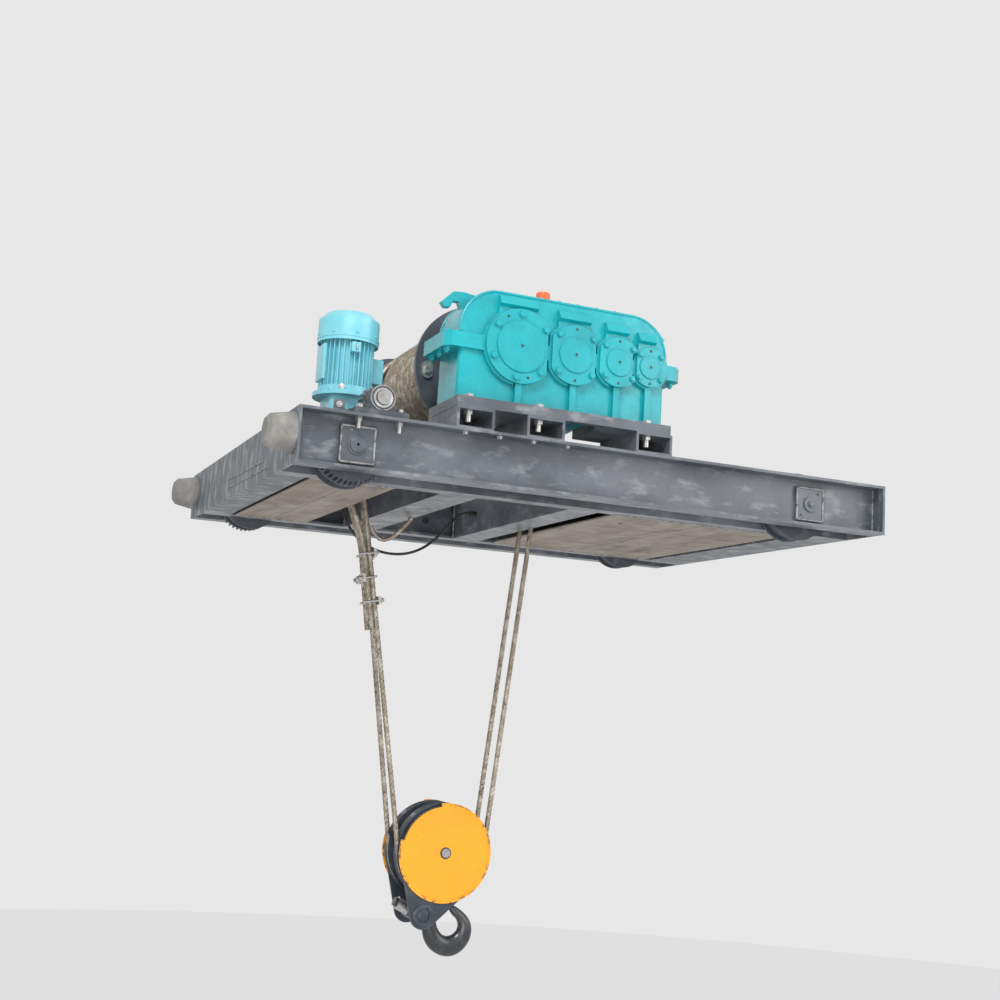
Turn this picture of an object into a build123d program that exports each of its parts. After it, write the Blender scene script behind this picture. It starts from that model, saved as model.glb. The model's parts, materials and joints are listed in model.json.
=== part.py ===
from build123d import *
from math import acos, asin, atan2, cos, degrees, pi, radians, sin, tan
import os

# Low-headroom electric wire rope hoist trolley.
#
# A welded trolley frame on four wheels carries a four-shaft helical gearbox, the rope drum and a vertical
# travel motor.  Two steel ropes run from the drum over guide sheaves, down round a twin-sheave hook block
# and up again to thimble anchors under the frame.
#
# Frame of reference, in millimetres: X along the rails, Y along the drum, Z up.  The origin lies midway
# between the four wheel contact points, on the rail head.

# ---------------------------------------------------------------- driving dimensions
RUNNING_GAP = 0.05  # radial clearance of a shaft in its bearing
ROPE_DIAMETER = 22.0
ROPE_RADIUS = ROPE_DIAMETER / 2
FRONT_ROPE_Y, REAR_ROPE_Y = 135.0, 255.0
ROPE_PLANES = (FRONT_ROPE_Y, REAR_ROPE_Y)

# trolley frame
FRAME_LEFT, FRAME_RIGHT = -1170.0, 1268.0
FRAME_LENGTH = FRAME_RIGHT - FRAME_LEFT
FRAME_BOTTOM, FRAME_TOP = 30.0, 230.0
GIRDER_HEIGHT = FRAME_TOP - FRAME_BOTTOM
GIRDER_WEB, GIRDER_FLANGE = 9.0, 11.0
OUTER_EDGE_Y, OUTER_WEB_Y = 935.0, 860.0  # flange tips and wheel-side face of an outer channel
INNER_WEB_Y, INNER_EDGE_Y = 700.0, 625.0  # wheel-side face and flange tips of an inner channel
END_PLATE = 10.0
LEFT_BEAM_DEPTH, RIGHT_BEAM_DEPTH = 110.0, 200.0
PLATE = 6.0
CROSS_BEAMS = ((-535.0, -385.0), (0.0, 130.0))  # X ranges
SOFFITS = ((-1040.0, -715.0), (203.0, 1030.0))
DECKS = ((-1060.0, -690.0), (330.0, 1068.0))

# wheels and travel drive
WHEELBASE_HALF = 950.0
WHEEL_RADIUS, WHEEL_FLANGE_RADIUS = 125.0, 137.0
AXLE_RADIUS = 30.0
WHEEL_MODULE, WHEEL_TEETH, DRIVE_TEETH = 6.0, 44, 17
DRIVE_SHAFT_RADIUS = 25.0
DRIVE_SHAFT_RISE = 170.0  # above the wheel axle
MOTOR_X, MOTOR_Y = -932.0, -600.0
MOTOR_FLANGE_Z, MOTOR_TOP_Z = 340.0, 660.0

# gearbox: four shafts side by side at one height
GEARBOX_FRONT, GEARBOX_REAR = -830.0, -610.0
GEARBOX_LEFT, GEARBOX_RIGHT = -573.0, 289.0
GEARBOX_WALL = 12.0
BED_BOTTOM, BED_TOP = 312.0, 350.0
BED_LEFT, BED_RIGHT, BED_FRONT = -601.0, 276.0, -920.0
BED_NOTCH = (-150.0, 5.0)
SUMP_BOTTOM = 378.0
SHAFT_Z = 583.0
LID_TOP = 784.0
STAGES = ((6.0, 58, 17), (5.0, 57, 17), (4.0, 52, 16))  # module, wheel teeth, pinion teeth
STAGE_PLANES = ((-705.0, -630.0), (-815.0, -765.0), (-755.0, -715.0))
OUTPUT_X = -337.0
SHAFT_RADII = (50.0, 40.0, 32.0, 25.0)
COVER_RADII = (143.0, 116.0, 97.0, 77.0)
COVER_BOSSES = (101.0, 70.0, 55.0, 46.0)
COVER_GAP = 10.0  # half the gap between two neighbouring covers
PEDESTALS = ((-600.0, -453.0), (-323.0, -170.0), (130.0, 285.0))

# drum
DRUM_FRONT, DRUM_BACK = -390.0, 590.0
DRUM_RADIUS, DRUM_BORE = 194.0, 176.0
DRUM_FLANGE_RADIUS, DRUM_FLANGE = 260.0, 20.0
WOUND_RADIUS = DRUM_RADIUS + ROPE_DIAMETER
ROPE_PITCH_RADIUS = DRUM_RADIUS + ROPE_RADIUS + 0.5
DRUM_SHAFT_RADIUS = 50.0

# guide sheaves on the middle cross beam
GUIDE_X, GUIDE_Z, GUIDE_RADIUS = 95.0, 380.0, 120.0
GUIDE_AXLE = 25.0

# hook block
BLOCK_X, BLOCK_Z, BLOCK_RADIUS = -150.0, -1365.0, 190.0
BLOCK_Y = (FRONT_ROPE_Y + REAR_ROPE_Y) / 2
BLOCK_AXLE = 30.0
SHEAVE_RIM_OVER_PITCH, SHEAVE_HALF_WIDTH = 14.0, 28.0
COVER_RADIUS = 205.0
CHEEK_INNER, CHEEK_OUTER = 94.0, 104.0  # half distances across the block
COVER_INNER, COVER_OUTER = 105.0, 112.0
PIN_X, PIN_Z = -230.0, -1620.0
PIN_RADIUS = 25.0
HOOK_TILT = 64.5  # degrees from hanging straight down
HOOK_HALF_THICKNESS = 26.0
SHANK_RADIUS = 19.0

# rope ends
ANCHOR_Z = 120.0
THIMBLE_RADIUS = 34.0
CLIP_HEIGHTS = (-135.0, -235.0, -335.0)
TAIL_END_Z = -450.0
TAIL_JOIN_Z = -70.0
TAIL_SPACING = ROPE_DIAMETER + 1.0

os.makedirs("parts", exist_ok=True)


def write(part, name):
    """Gives a finished piece its name and its STEP file."""
    part.label = name
    export_step(part, f"parts/{name}.step")


def rod(x, z, y_from, y_to, radius, mode=Mode.ADD):
    """A cylinder along Y."""
    with Locations((x, (y_from + y_to) / 2, z)):
        Cylinder(radius, y_to - y_from, rotation=(90, 0, 0), mode=mode)


def block(x_range, y_range, z_range, mode=Mode.ADD):
    """A box given by its ranges."""
    (x0, x1), (y0, y1), (z0, z1) = x_range, y_range, z_range
    with Locations(((x0 + x1) / 2, (y0 + y1) / 2, (z0 + z1) / 2)):
        Box(x1 - x0, y1 - y0, z1 - z0, mode=mode)


def across(y):
    """The XZ plane at a given Y; extruding by a negative amount goes towards +Y."""
    return Plane.XZ.offset(-y)


def sided(side, y_from, y_to):
    """A Y range on one side of the trolley, -1 for the near side and 1 for the far side."""
    return sorted((side * y_from, side * y_to))


def both_sides(y_from, y_to):
    """A Y range on the near side and its mirror on the far side."""
    return (-y_to, -y_from), (y_from, y_to)


# ---------------------------------------------------------------- bolts that go through several pieces
DRIVE_SHAFT_X = -WHEELBASE_HALF + (
    (WHEEL_MODULE * (WHEEL_TEETH + DRIVE_TEETH) / 2) ** 2 - DRIVE_SHAFT_RISE**2
) ** 0.5
PILLOW_Y, PILLOW_BOLT_SPACING = 897.0, 75.0
PEDESTAL_WALL = 10.0
FOUNDATION_XS = [(x0 + x1) / 2 - 18 for x0, x1 in PEDESTALS]
FOUNDATION_Y = -885.0
PILLOW_FOOT_TOP = FRAME_TOP + 22.0
M16, M24 = (8.0, 13.8), (11.0, 18.0)  # shank radius, corner radius of the hexagon
NUT_HEIGHT = 14.0
FRAME_BOLTS = [
    (x, y, M16, FRAME_TOP - 50, PILLOW_FOOT_TOP, FRAME_TOP - GIRDER_FLANGE - NUT_HEIGHT)
    for x in (DRIVE_SHAFT_X - PILLOW_BOLT_SPACING, DRIVE_SHAFT_X + PILLOW_BOLT_SPACING)
    for y in (-PILLOW_Y, PILLOW_Y)
]
FRAME_BOLTS += [
    (x, FOUNDATION_Y, M24, FRAME_TOP + 30, BED_TOP, BED_BOTTOM - PEDESTAL_WALL - NUT_HEIGHT)
    for x in FOUNDATION_XS
]


def bolt_holes(z_low, z_high):
    """Holes for the frame bolts through the current part, over a range of heights."""
    for x, y, (shank, _), *_ in FRAME_BOLTS:
        with Locations((x, y, (z_low + z_high) / 2)):
            Cylinder(shank, z_high - z_low, mode=Mode.SUBTRACT)


# ---------------------------------------------------------------- trolley frame
with BuildPart() as outer_girders:
    for side in (-1, 1):
        with BuildSketch(Plane.YZ.offset(FRAME_LEFT)):
            middle = side * (OUTER_EDGE_Y + OUTER_WEB_Y) / 2
            with Locations((middle, (FRAME_BOTTOM + FRAME_TOP) / 2)):
                Rectangle(OUTER_EDGE_Y - OUTER_WEB_Y, GIRDER_HEIGHT)
            with Locations((middle + side * GIRDER_WEB, (FRAME_BOTTOM + FRAME_TOP) / 2)):
                Rectangle(OUTER_EDGE_Y - OUTER_WEB_Y, GIRDER_HEIGHT - 2 * GIRDER_FLANGE, mode=Mode.SUBTRACT)
        extrude(amount=FRAME_LENGTH)
        for x in (-WHEELBASE_HALF, WHEELBASE_HALF):
            rod(x, WHEEL_RADIUS, *sided(side, OUTER_WEB_Y - 5, OUTER_EDGE_Y + 5), AXLE_RADIUS, Mode.SUBTRACT)
    bolt_holes(FRAME_TOP - GIRDER_FLANGE - 1, FRAME_TOP + 1)
write(outer_girders.part, "outer_girders")

with BuildPart() as inner_girders:
    for side in (-1, 1):
        with BuildSketch(Plane.YZ.offset(FRAME_LEFT)):
            middle = side * (INNER_WEB_Y + INNER_EDGE_Y) / 2
            with Locations((middle, (FRAME_BOTTOM + FRAME_TOP) / 2)):
                Rectangle(INNER_WEB_Y - INNER_EDGE_Y, GIRDER_HEIGHT)
            with Locations((middle - side * GIRDER_WEB, (FRAME_BOTTOM + FRAME_TOP) / 2)):
                Rectangle(INNER_WEB_Y - INNER_EDGE_Y, GIRDER_HEIGHT - 2 * GIRDER_FLANGE, mode=Mode.SUBTRACT)
        extrude(amount=FRAME_LENGTH)
        for x in (-WHEELBASE_HALF, WHEELBASE_HALF):
            rod(x, WHEEL_RADIUS, *sided(side, INNER_EDGE_Y - 5, INNER_WEB_Y + 5), AXLE_RADIUS, Mode.SUBTRACT)
write(inner_girders.part, "inner_girders")

with BuildPart() as end_beams:
    for x_end, direction, depth in ((FRAME_LEFT, 1, LEFT_BEAM_DEPTH), (FRAME_RIGHT, -1, RIGHT_BEAM_DEPTH)):
        x_outside = x_end - direction * END_PLATE
        block(sorted((x_outside, x_end)), (-OUTER_EDGE_Y, OUTER_EDGE_Y), (FRAME_BOTTOM, FRAME_TOP))
        flange = sorted((x_end, x_end + direction * depth))
        for z in (FRAME_BOTTOM, FRAME_TOP - PLATE):
            block(flange, (-INNER_EDGE_Y, INNER_EDGE_Y), (z, z + PLATE))
        back = x_end + direction * depth
        block(
            sorted((back, back - direction * PLATE)),
            (-INNER_EDGE_Y, INNER_EDGE_Y),
            (FRAME_BOTTOM, FRAME_TOP),
        )
write(end_beams.part, "end_beams")

with BuildPart() as cross_beams:
    for x0, x1 in CROSS_BEAMS:
        block((x0, x1), (-INNER_EDGE_Y, INNER_EDGE_Y), (FRAME_BOTTOM, FRAME_TOP))
        inside = (x0 + GIRDER_WEB, x1 - GIRDER_WEB)
        block(
            inside,
            (-INNER_EDGE_Y, INNER_EDGE_Y),
            (FRAME_BOTTOM + GIRDER_WEB, FRAME_TOP - GIRDER_WEB),
            Mode.SUBTRACT,
        )
write(cross_beams.part, "cross_beams")

with BuildPart() as soffit_plates:
    for x0, x1 in SOFFITS:
        block((x0, x1), (-INNER_EDGE_Y, INNER_EDGE_Y), (FRAME_BOTTOM, FRAME_BOTTOM + PLATE))
write(soffit_plates.part, "soffit_plates")

with BuildPart() as deck_plates:
    for x0, x1 in DECKS:
        block((x0, x1), (-INNER_EDGE_Y, INNER_EDGE_Y), (FRAME_TOP - PLATE, FRAME_TOP))
write(deck_plates.part, "deck_plates")

AXLE_PLATE_HALF = 62.0
with BuildPart() as axle_plates:
    for x in (-WHEELBASE_HALF, WHEELBASE_HALF):
        for y0, y1 in (*both_sides(869.0, 881.0), *both_sides(679.0, 691.0)):
            block((x - AXLE_PLATE_HALF, x + AXLE_PLATE_HALF), (y0, y1), (60.0, 190.0))
            rod(x, WHEEL_RADIUS, y0 - 1, y1 + 1, AXLE_RADIUS, Mode.SUBTRACT)
write(axle_plates.part, "axle_plates")

BUMPER_LENGTH, BUMPER_ROOT, BUMPER_NOSE = 100.0, 73.0, 56.0
BUMPER_Y, BUMPER_Z = 865.0, 140.0
with BuildPart() as bumpers:
    for side in (-1, 1):
        x_root = FRAME_LEFT - END_PLATE
        with BuildSketch(Plane.XY.offset(BUMPER_Z)):
            with BuildLine():
                Polyline(
                    (x_root, side * BUMPER_Y),
                    (x_root, side * BUMPER_Y + BUMPER_ROOT),
                    (x_root - 14, side * BUMPER_Y + BUMPER_ROOT),
                    (x_root - BUMPER_LENGTH + 14, side * BUMPER_Y + BUMPER_NOSE + 2),
                    (x_root - BUMPER_LENGTH, side * BUMPER_Y + BUMPER_NOSE - 14),
                    (x_root - BUMPER_LENGTH, side * BUMPER_Y),
                    close=True,
                )
            make_face()
        revolve(axis=Axis((x_root, side * BUMPER_Y, BUMPER_Z), (1, 0, 0)))
write(bumpers.part, "bumpers")

PEDESTAL_BACK = -615.0
with BuildPart() as gearbox_pedestals:
    for x0, x1 in PEDESTALS:
        block((x0, x1), (BED_FRONT, PEDESTAL_BACK), (FRAME_TOP, BED_BOTTOM))
        inside = (x0 + PEDESTAL_WALL, x1 - PEDESTAL_WALL)
        block(
            inside,
            (BED_FRONT, PEDESTAL_BACK),
            (FRAME_TOP + PEDESTAL_WALL, BED_BOTTOM - PEDESTAL_WALL),
            Mode.SUBTRACT,
        )
    bolt_holes(BED_BOTTOM - PEDESTAL_WALL - 1, BED_BOTTOM + 1)
write(gearbox_pedestals.part, "gearbox_pedestals")

with BuildPart() as gearbox_bedplate:
    block((BED_LEFT, BED_RIGHT), (BED_FRONT, PEDESTAL_BACK), (BED_BOTTOM, BED_TOP))
    block(BED_NOTCH, (BED_FRONT + 30, PEDESTAL_BACK + 1), (BED_BOTTOM, BED_TOP), Mode.SUBTRACT)
    bolt_holes(BED_BOTTOM - 1, BED_TOP + 1)
write(gearbox_bedplate.part, "gearbox_bedplate")

# ---------------------------------------------------------------- gears
PRESSURE_ANGLE = radians(20)
BACKLASH = 0.6


def involute(angle):
    return tan(angle) - angle


def gear_outline(module, teeth, turn):
    """Points of an involute gear, with the middle of one tooth at the angle turn, in degrees."""
    pitch = module * teeth / 2
    base, tip, root = pitch * cos(PRESSURE_ANGLE), pitch + 0.95 * module, pitch - 1.2 * module
    half_at_pitch = pi / (2 * teeth) - BACKLASH / (2 * pitch)
    start = max(base, root)
    flank = []
    for step in range(5):
        radius = start + (tip - start) * step / 4
        at_radius = acos(min(1.0, base / radius))
        flank.append((radius, half_at_pitch + involute(PRESSURE_ANGLE) - involute(at_radius)))
    if root < base:
        flank.insert(0, (root, flank[0][1]))
    points = []
    for tooth in range(teeth):
        middle = radians(turn) + 2 * pi * tooth / teeth
        points += [(radius * cos(middle - half), radius * sin(middle - half)) for radius, half in flank]
        points += [(radius * cos(middle + half), radius * sin(middle + half)) for radius, half in flank[::-1]]
    return points


def gear(x, z, y_from, y_to, module, teeth, turn):
    """A toothed wheel along Y, inside the current part."""
    with BuildSketch(Plane(origin=(x, y_to, z), x_dir=(1, 0, 0), z_dir=(0, -1, 0))) as toothed:
        with BuildLine():
            Polyline(*gear_outline(module, teeth, turn), close=True)
        make_face()
    extrude(toothed.sketch, amount=y_to - y_from)


# ---------------------------------------------------------------- travel wheels and axles
WHEEL_INNER_FACE, TREAD_INNER, TREAD_OUTER, WHEEL_OUTER_FACE = 712.0, 724.0, 786.0, 798.0
RIM_GEAR_END = 843.0
HUB_FACES = (709.0, 851.0)
HUB_RADIUS = 60.0
DRIVE_SHAFT_Z = WHEEL_RADIUS + DRIVE_SHAFT_RISE
MESH_ANGLE = degrees(atan2(DRIVE_SHAFT_RISE, DRIVE_SHAFT_X + WHEELBASE_HALF))


def travel_wheel(x, side):
    """One double-flanged wheel with its hub."""
    with BuildPart() as wheel:
        rod(x, WHEEL_RADIUS, *sided(side, WHEEL_INNER_FACE, TREAD_INNER), WHEEL_FLANGE_RADIUS)
        rod(x, WHEEL_RADIUS, *sided(side, TREAD_INNER, TREAD_OUTER), WHEEL_RADIUS)
        rod(x, WHEEL_RADIUS, *sided(side, TREAD_OUTER, WHEEL_OUTER_FACE), WHEEL_FLANGE_RADIUS)
        rod(x, WHEEL_RADIUS, *sided(side, *HUB_FACES), HUB_RADIUS)
        rod(x, WHEEL_RADIUS, *sided(side, *HUB_FACES), AXLE_RADIUS + RUNNING_GAP, Mode.SUBTRACT)
    return wheel.part


def bored_gear(x, z, y_from, y_to, module, teeth, turn, bore):
    """A gear with a round hole for its shaft or hub."""
    with BuildPart() as bored:
        gear(x, z, y_from, y_to, module, teeth, turn)
        rod(x, z, y_from, y_to, bore, Mode.SUBTRACT)
    return bored.part


for wheel_side, end in ((-1, "near"), (1, "far")):
    faces = sided(wheel_side, WHEEL_OUTER_FACE, RIM_GEAR_END)
    rim = bored_gear(-WHEELBASE_HALF, WHEEL_RADIUS, *faces, WHEEL_MODULE, WHEEL_TEETH, MESH_ANGLE, HUB_RADIUS)
    write(Compound(children=[travel_wheel(-WHEELBASE_HALF, wheel_side), rim]), f"driven_wheel_{end}")
    write(travel_wheel(WHEELBASE_HALF, wheel_side), f"idle_wheel_{end}")

with BuildPart() as wheel_axles:
    for x in (-WHEELBASE_HALF, WHEELBASE_HALF):
        for side in (-1, 1):
            rod(x, WHEEL_RADIUS, *sided(side, 665.0, 889.0), AXLE_RADIUS)
write(wheel_axles.part, "wheel_axles")

# ---------------------------------------------------------------- cross shaft of the travel drive
SHAFT_END_Y = 938.0
WORM_WHEEL_RADIUS, WORM_WHEEL_HALF, WORM_WHEEL_TEETH = 28.0, 14.0, 20
WORM_WHEEL_TIP = WORM_WHEEL_RADIUS + 3
WORM_WHEEL_FACES = (MOTOR_Y - WORM_WHEEL_HALF, MOTOR_Y + WORM_WHEEL_HALF)
with BuildPart() as cross_shaft:
    rod(DRIVE_SHAFT_X, DRIVE_SHAFT_Z, -SHAFT_END_Y, SHAFT_END_Y, DRIVE_SHAFT_RADIUS)
with BuildPart() as worm_wheel:
    rod(DRIVE_SHAFT_X, DRIVE_SHAFT_Z, *WORM_WHEEL_FACES, WORM_WHEEL_TIP)
    rod(DRIVE_SHAFT_X, DRIVE_SHAFT_Z, *WORM_WHEEL_FACES, DRIVE_SHAFT_RADIUS, Mode.SUBTRACT)
    with BuildSketch(across(WORM_WHEEL_FACES[0])):
        with Locations((DRIVE_SHAFT_X, DRIVE_SHAFT_Z)):
            with PolarLocations(WORM_WHEEL_TIP, WORM_WHEEL_TEETH):
                Circle(2.6)
    extrude(amount=-2 * WORM_WHEEL_HALF, mode=Mode.SUBTRACT)
shaft_pieces = [cross_shaft.part, worm_wheel.part]
for side in (-1, 1):
    turn = MESH_ANGLE + 180 + 180 / DRIVE_TEETH
    faces = sided(side, WHEEL_OUTER_FACE + 1.5, RIM_GEAR_END)
    place = (DRIVE_SHAFT_X, DRIVE_SHAFT_Z)
    shaft_pieces.append(bored_gear(*place, *faces, WHEEL_MODULE, DRIVE_TEETH, turn, DRIVE_SHAFT_RADIUS))
write(Compound(children=shaft_pieces), "drive_shaft")

PILLOW_HALF_WIDTH, PILLOW_RING, PILLOW_FOOT = 30.0, 48.0, 99.0
with BuildPart() as pillow_blocks:
    for y0, y1 in both_sides(PILLOW_Y - PILLOW_HALF_WIDTH, PILLOW_Y + PILLOW_HALF_WIDTH):
        rod(DRIVE_SHAFT_X, DRIVE_SHAFT_Z, y0 + 4, y1 - 4, PILLOW_RING)
        foot = (DRIVE_SHAFT_X - PILLOW_FOOT, DRIVE_SHAFT_X + PILLOW_FOOT)
        block(foot, (y0, y1), (FRAME_TOP, PILLOW_FOOT_TOP))
        neck = (DRIVE_SHAFT_X - PILLOW_RING + 4, DRIVE_SHAFT_X + PILLOW_RING - 4)
        block(neck, (y0 + 6, y1 - 6), (FRAME_TOP, DRIVE_SHAFT_Z))
        rod(DRIVE_SHAFT_X, DRIVE_SHAFT_Z, y0 - 1, y1 + 1, DRIVE_SHAFT_RADIUS + RUNNING_GAP, Mode.SUBTRACT)
    bolt_holes(FRAME_TOP - 1, PILLOW_FOOT_TOP + 1)
write(pillow_blocks.part, "pillow_blocks")

REDUCER_X = (-1005.0, -822.0)
REDUCER_Y = (-680.0, -520.0)
with BuildPart() as reducer_housing:
    block(REDUCER_X, REDUCER_Y, (FRAME_TOP, MOTOR_FLANGE_Z))
    fillet(reducer_housing.edges().filter_by(Axis.Z), 24)
    inside_x = (REDUCER_X[0] + 10, REDUCER_X[1] - 10)
    inside_y = (REDUCER_Y[0] + 10, REDUCER_Y[1] - 10)
    block(inside_x, inside_y, (FRAME_TOP + 10, MOTOR_FLANGE_Z - 9), Mode.SUBTRACT)
    rod(DRIVE_SHAFT_X, DRIVE_SHAFT_Z, -690, -510, DRIVE_SHAFT_RADIUS + 1, Mode.SUBTRACT)
    with Locations((MOTOR_X, MOTOR_Y, MOTOR_FLANGE_Z)):
        Cylinder(20, 60, mode=Mode.SUBTRACT)
write(reducer_housing.part, "reducer_housing")

FAN_COWL_RADIUS, COWL_BOTTOM = 114.0, 552.0
MOTOR_BARREL, FIN_RADIUS, FIN_COUNT = 84.0, 100.0, 32
MOTOR_BORE = 72.0
MOTOR_FOOT_RADIUS = 118.0
with BuildPart() as travel_motor_body:
    with BuildSketch(Plane.XY.offset(MOTOR_FLANGE_Z)):
        with Locations((MOTOR_X, MOTOR_Y)):
            Circle(MOTOR_FOOT_RADIUS)
    extrude(amount=16)
    with BuildSketch(Plane.XY.offset(MOTOR_FLANGE_Z + 16)):
        with Locations((MOTOR_X, MOTOR_Y)):
            Circle(FIN_RADIUS)
    extrude(amount=22)
    with BuildSketch(Plane.XY.offset(MOTOR_FLANGE_Z + 38)):
        with Locations((MOTOR_X, MOTOR_Y)):
            Circle(MOTOR_BARREL)
            with PolarLocations((MOTOR_BARREL + FIN_RADIUS) / 2 - 4, FIN_COUNT):
                Rectangle(FIN_RADIUS - MOTOR_BARREL + 8, 4)
    extrude(amount=COWL_BOTTOM - MOTOR_FLANGE_Z - 38)
    with Locations((MOTOR_X, MOTOR_Y, (MOTOR_FLANGE_Z + COWL_BOTTOM) / 2 + 6)):
        Cylinder(MOTOR_BORE, COWL_BOTTOM - MOTOR_FLANGE_Z - 36, mode=Mode.SUBTRACT)
    with Locations((MOTOR_X, MOTOR_Y, (MOTOR_FLANGE_Z + COWL_BOTTOM) / 2)):
        Cylinder(17 + RUNNING_GAP, COWL_BOTTOM - MOTOR_FLANGE_Z + 2, mode=Mode.SUBTRACT)
    block((MOTOR_X + 80, MOTOR_X + 150), (MOTOR_Y + 20, MOTOR_Y + 110), (425, 515))
write(travel_motor_body.part, "travel_motor_body")

COWL_WALL, COWL_CHAMFER = 3.0, 26.0
with BuildPart() as travel_motor_cowl:
    with BuildSketch(Plane.XZ):
        with BuildLine():
            Polyline(
                (0, MOTOR_TOP_Z),
                (FAN_COWL_RADIUS - COWL_CHAMFER, MOTOR_TOP_Z),
                (FAN_COWL_RADIUS, MOTOR_TOP_Z - COWL_CHAMFER),
                (FAN_COWL_RADIUS, COWL_BOTTOM - 6),
                (FAN_COWL_RADIUS - COWL_WALL, COWL_BOTTOM - 6),
                (FAN_COWL_RADIUS - COWL_WALL, MOTOR_TOP_Z - COWL_CHAMFER - 1),
                (FAN_COWL_RADIUS - COWL_CHAMFER - 1, MOTOR_TOP_Z - COWL_WALL),
                (0, MOTOR_TOP_Z - COWL_WALL),
                close=True,
            )
        make_face()
    revolve(axis=Axis.Z)
    with BuildSketch(Plane.XY.offset(COWL_BOTTOM)):
        Circle(FAN_COWL_RADIUS - COWL_WALL)
        Circle(FIN_RADIUS - 6, mode=Mode.SUBTRACT)
        with GridLocations(400, 40, 1, 7):
            Rectangle(400, 20, mode=Mode.SUBTRACT)
    extrude(amount=4)
travel_cowl = travel_motor_cowl.part.moved(Location((MOTOR_X, MOTOR_Y, 0)))
write(travel_cowl, "travel_motor_cowl")

with BuildPart() as travel_motor_rotor:
    for z0, z1, radius in (
        (MOTOR_FLANGE_Z - 88, MOTOR_FLANGE_Z - 20, 14.0),
        (MOTOR_FLANGE_Z - 21, COWL_BOTTOM + 30, 17.0),
        (MOTOR_FLANGE_Z + 50, COWL_BOTTOM - 40, 62.0),
        (COWL_BOTTOM + 14, COWL_BOTTOM + 34, 40.0),
    ):
        with Locations((MOTOR_X, MOTOR_Y, (z0 + z1) / 2)):
            Cylinder(radius, z1 - z0)
    with Locations((MOTOR_X, MOTOR_Y, COWL_BOTTOM + 44)):
        with PolarLocations(58, 8):
            Box(60, 4, 50)
write(travel_motor_rotor.part, "travel_motor_rotor")

# ---------------------------------------------------------------- gearbox
SHAFT_XS = [OUTPUT_X]
for stage_module, wheel_teeth, pinion_teeth in STAGES:
    SHAFT_XS.append(SHAFT_XS[-1] + stage_module * (wheel_teeth + pinion_teeth) / 2)
COVER_FACE = GEARBOX_FRONT - 30.0
BOSS_FACE = GEARBOX_FRONT - 18.0
BEARING_RADII = (85.0, 72.0, 58.0, 46.0)
BEARING_WIDTH = 22.0
SPLIT_TOP, SPLIT_BOTTOM = 605.0, 548.0
SPLIT_LEFT, SPLIT_RIGHT = -637.0, 356.0
SPLIT_FRONT, SPLIT_REAR = -848.0, -588.0
LID_CORNER = 150.0


def cover_face(index, grow):
    """One bearing cover's face in the current sketch: a disc cut flat where it meets its neighbours."""
    x, radius = SHAFT_XS[index], COVER_RADII[index] + grow
    with Locations((x, SHAFT_Z)):
        Circle(radius)
    gap = COVER_GAP - grow
    if index > 0:
        left = cover_edge(index - 1) + gap
        with Locations(((left + x - 2 * radius) / 2, SHAFT_Z)):
            Rectangle(left - x + 2 * radius, 3 * radius, mode=Mode.SUBTRACT)
    if index < 3:
        right = cover_edge(index) - gap
        with Locations(((right + x + 2 * radius) / 2, SHAFT_Z)):
            Rectangle(x + 2 * radius - right, 3 * radius, mode=Mode.SUBTRACT)


def cover_edge(index):
    """The X of the line between cover index and the next one."""
    share = COVER_RADII[index] / (COVER_RADII[index] + COVER_RADII[index + 1])
    return SHAFT_XS[index] + share * (SHAFT_XS[index + 1] - SHAFT_XS[index]) - 8


def lid_profile(inset):
    """The rounded end view of the upper housing, in the current sketch."""
    left, right = GEARBOX_LEFT + inset, GEARBOX_RIGHT - inset
    top, corner = LID_TOP - inset, LID_CORNER - inset
    with BuildLine() as outline:
        Line((left, SHAFT_Z), (left, top - corner))
        RadiusArc((left, top - corner), (left + corner, top), corner)
        Line((left + corner, top), (right - corner, top))
        RadiusArc((right - corner, top), (right, top - corner), corner)
        Line((right, top - corner), (right, SHAFT_Z))
        Line((right, SHAFT_Z), (left, SHAFT_Z))
    make_face(outline.edges())


def split_flange(z_low, z_high):
    """The joint flange, chamfered at its corners."""
    with BuildSketch(Plane.XY.offset(z_low)) as outline:
        with Locations(((SPLIT_LEFT + SPLIT_RIGHT) / 2, (SPLIT_FRONT + SPLIT_REAR) / 2)):
            Rectangle(SPLIT_RIGHT - SPLIT_LEFT, SPLIT_REAR - SPLIT_FRONT)
        chamfer(outline.vertices(), 26)
    extrude(outline.sketch, amount=z_high - z_low)


def shaft_holes(y_from, y_to):
    for x, radius in zip(SHAFT_XS, BEARING_RADII):
        rod(x, SHAFT_Z, y_from, y_to, radius, Mode.SUBTRACT)


INSIDE_X = (GEARBOX_LEFT + GEARBOX_WALL, GEARBOX_RIGHT - GEARBOX_WALL)
INSIDE_Y = (GEARBOX_FRONT + GEARBOX_WALL, GEARBOX_REAR - GEARBOX_WALL)
RIB_WIDTH = 26.0

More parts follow.
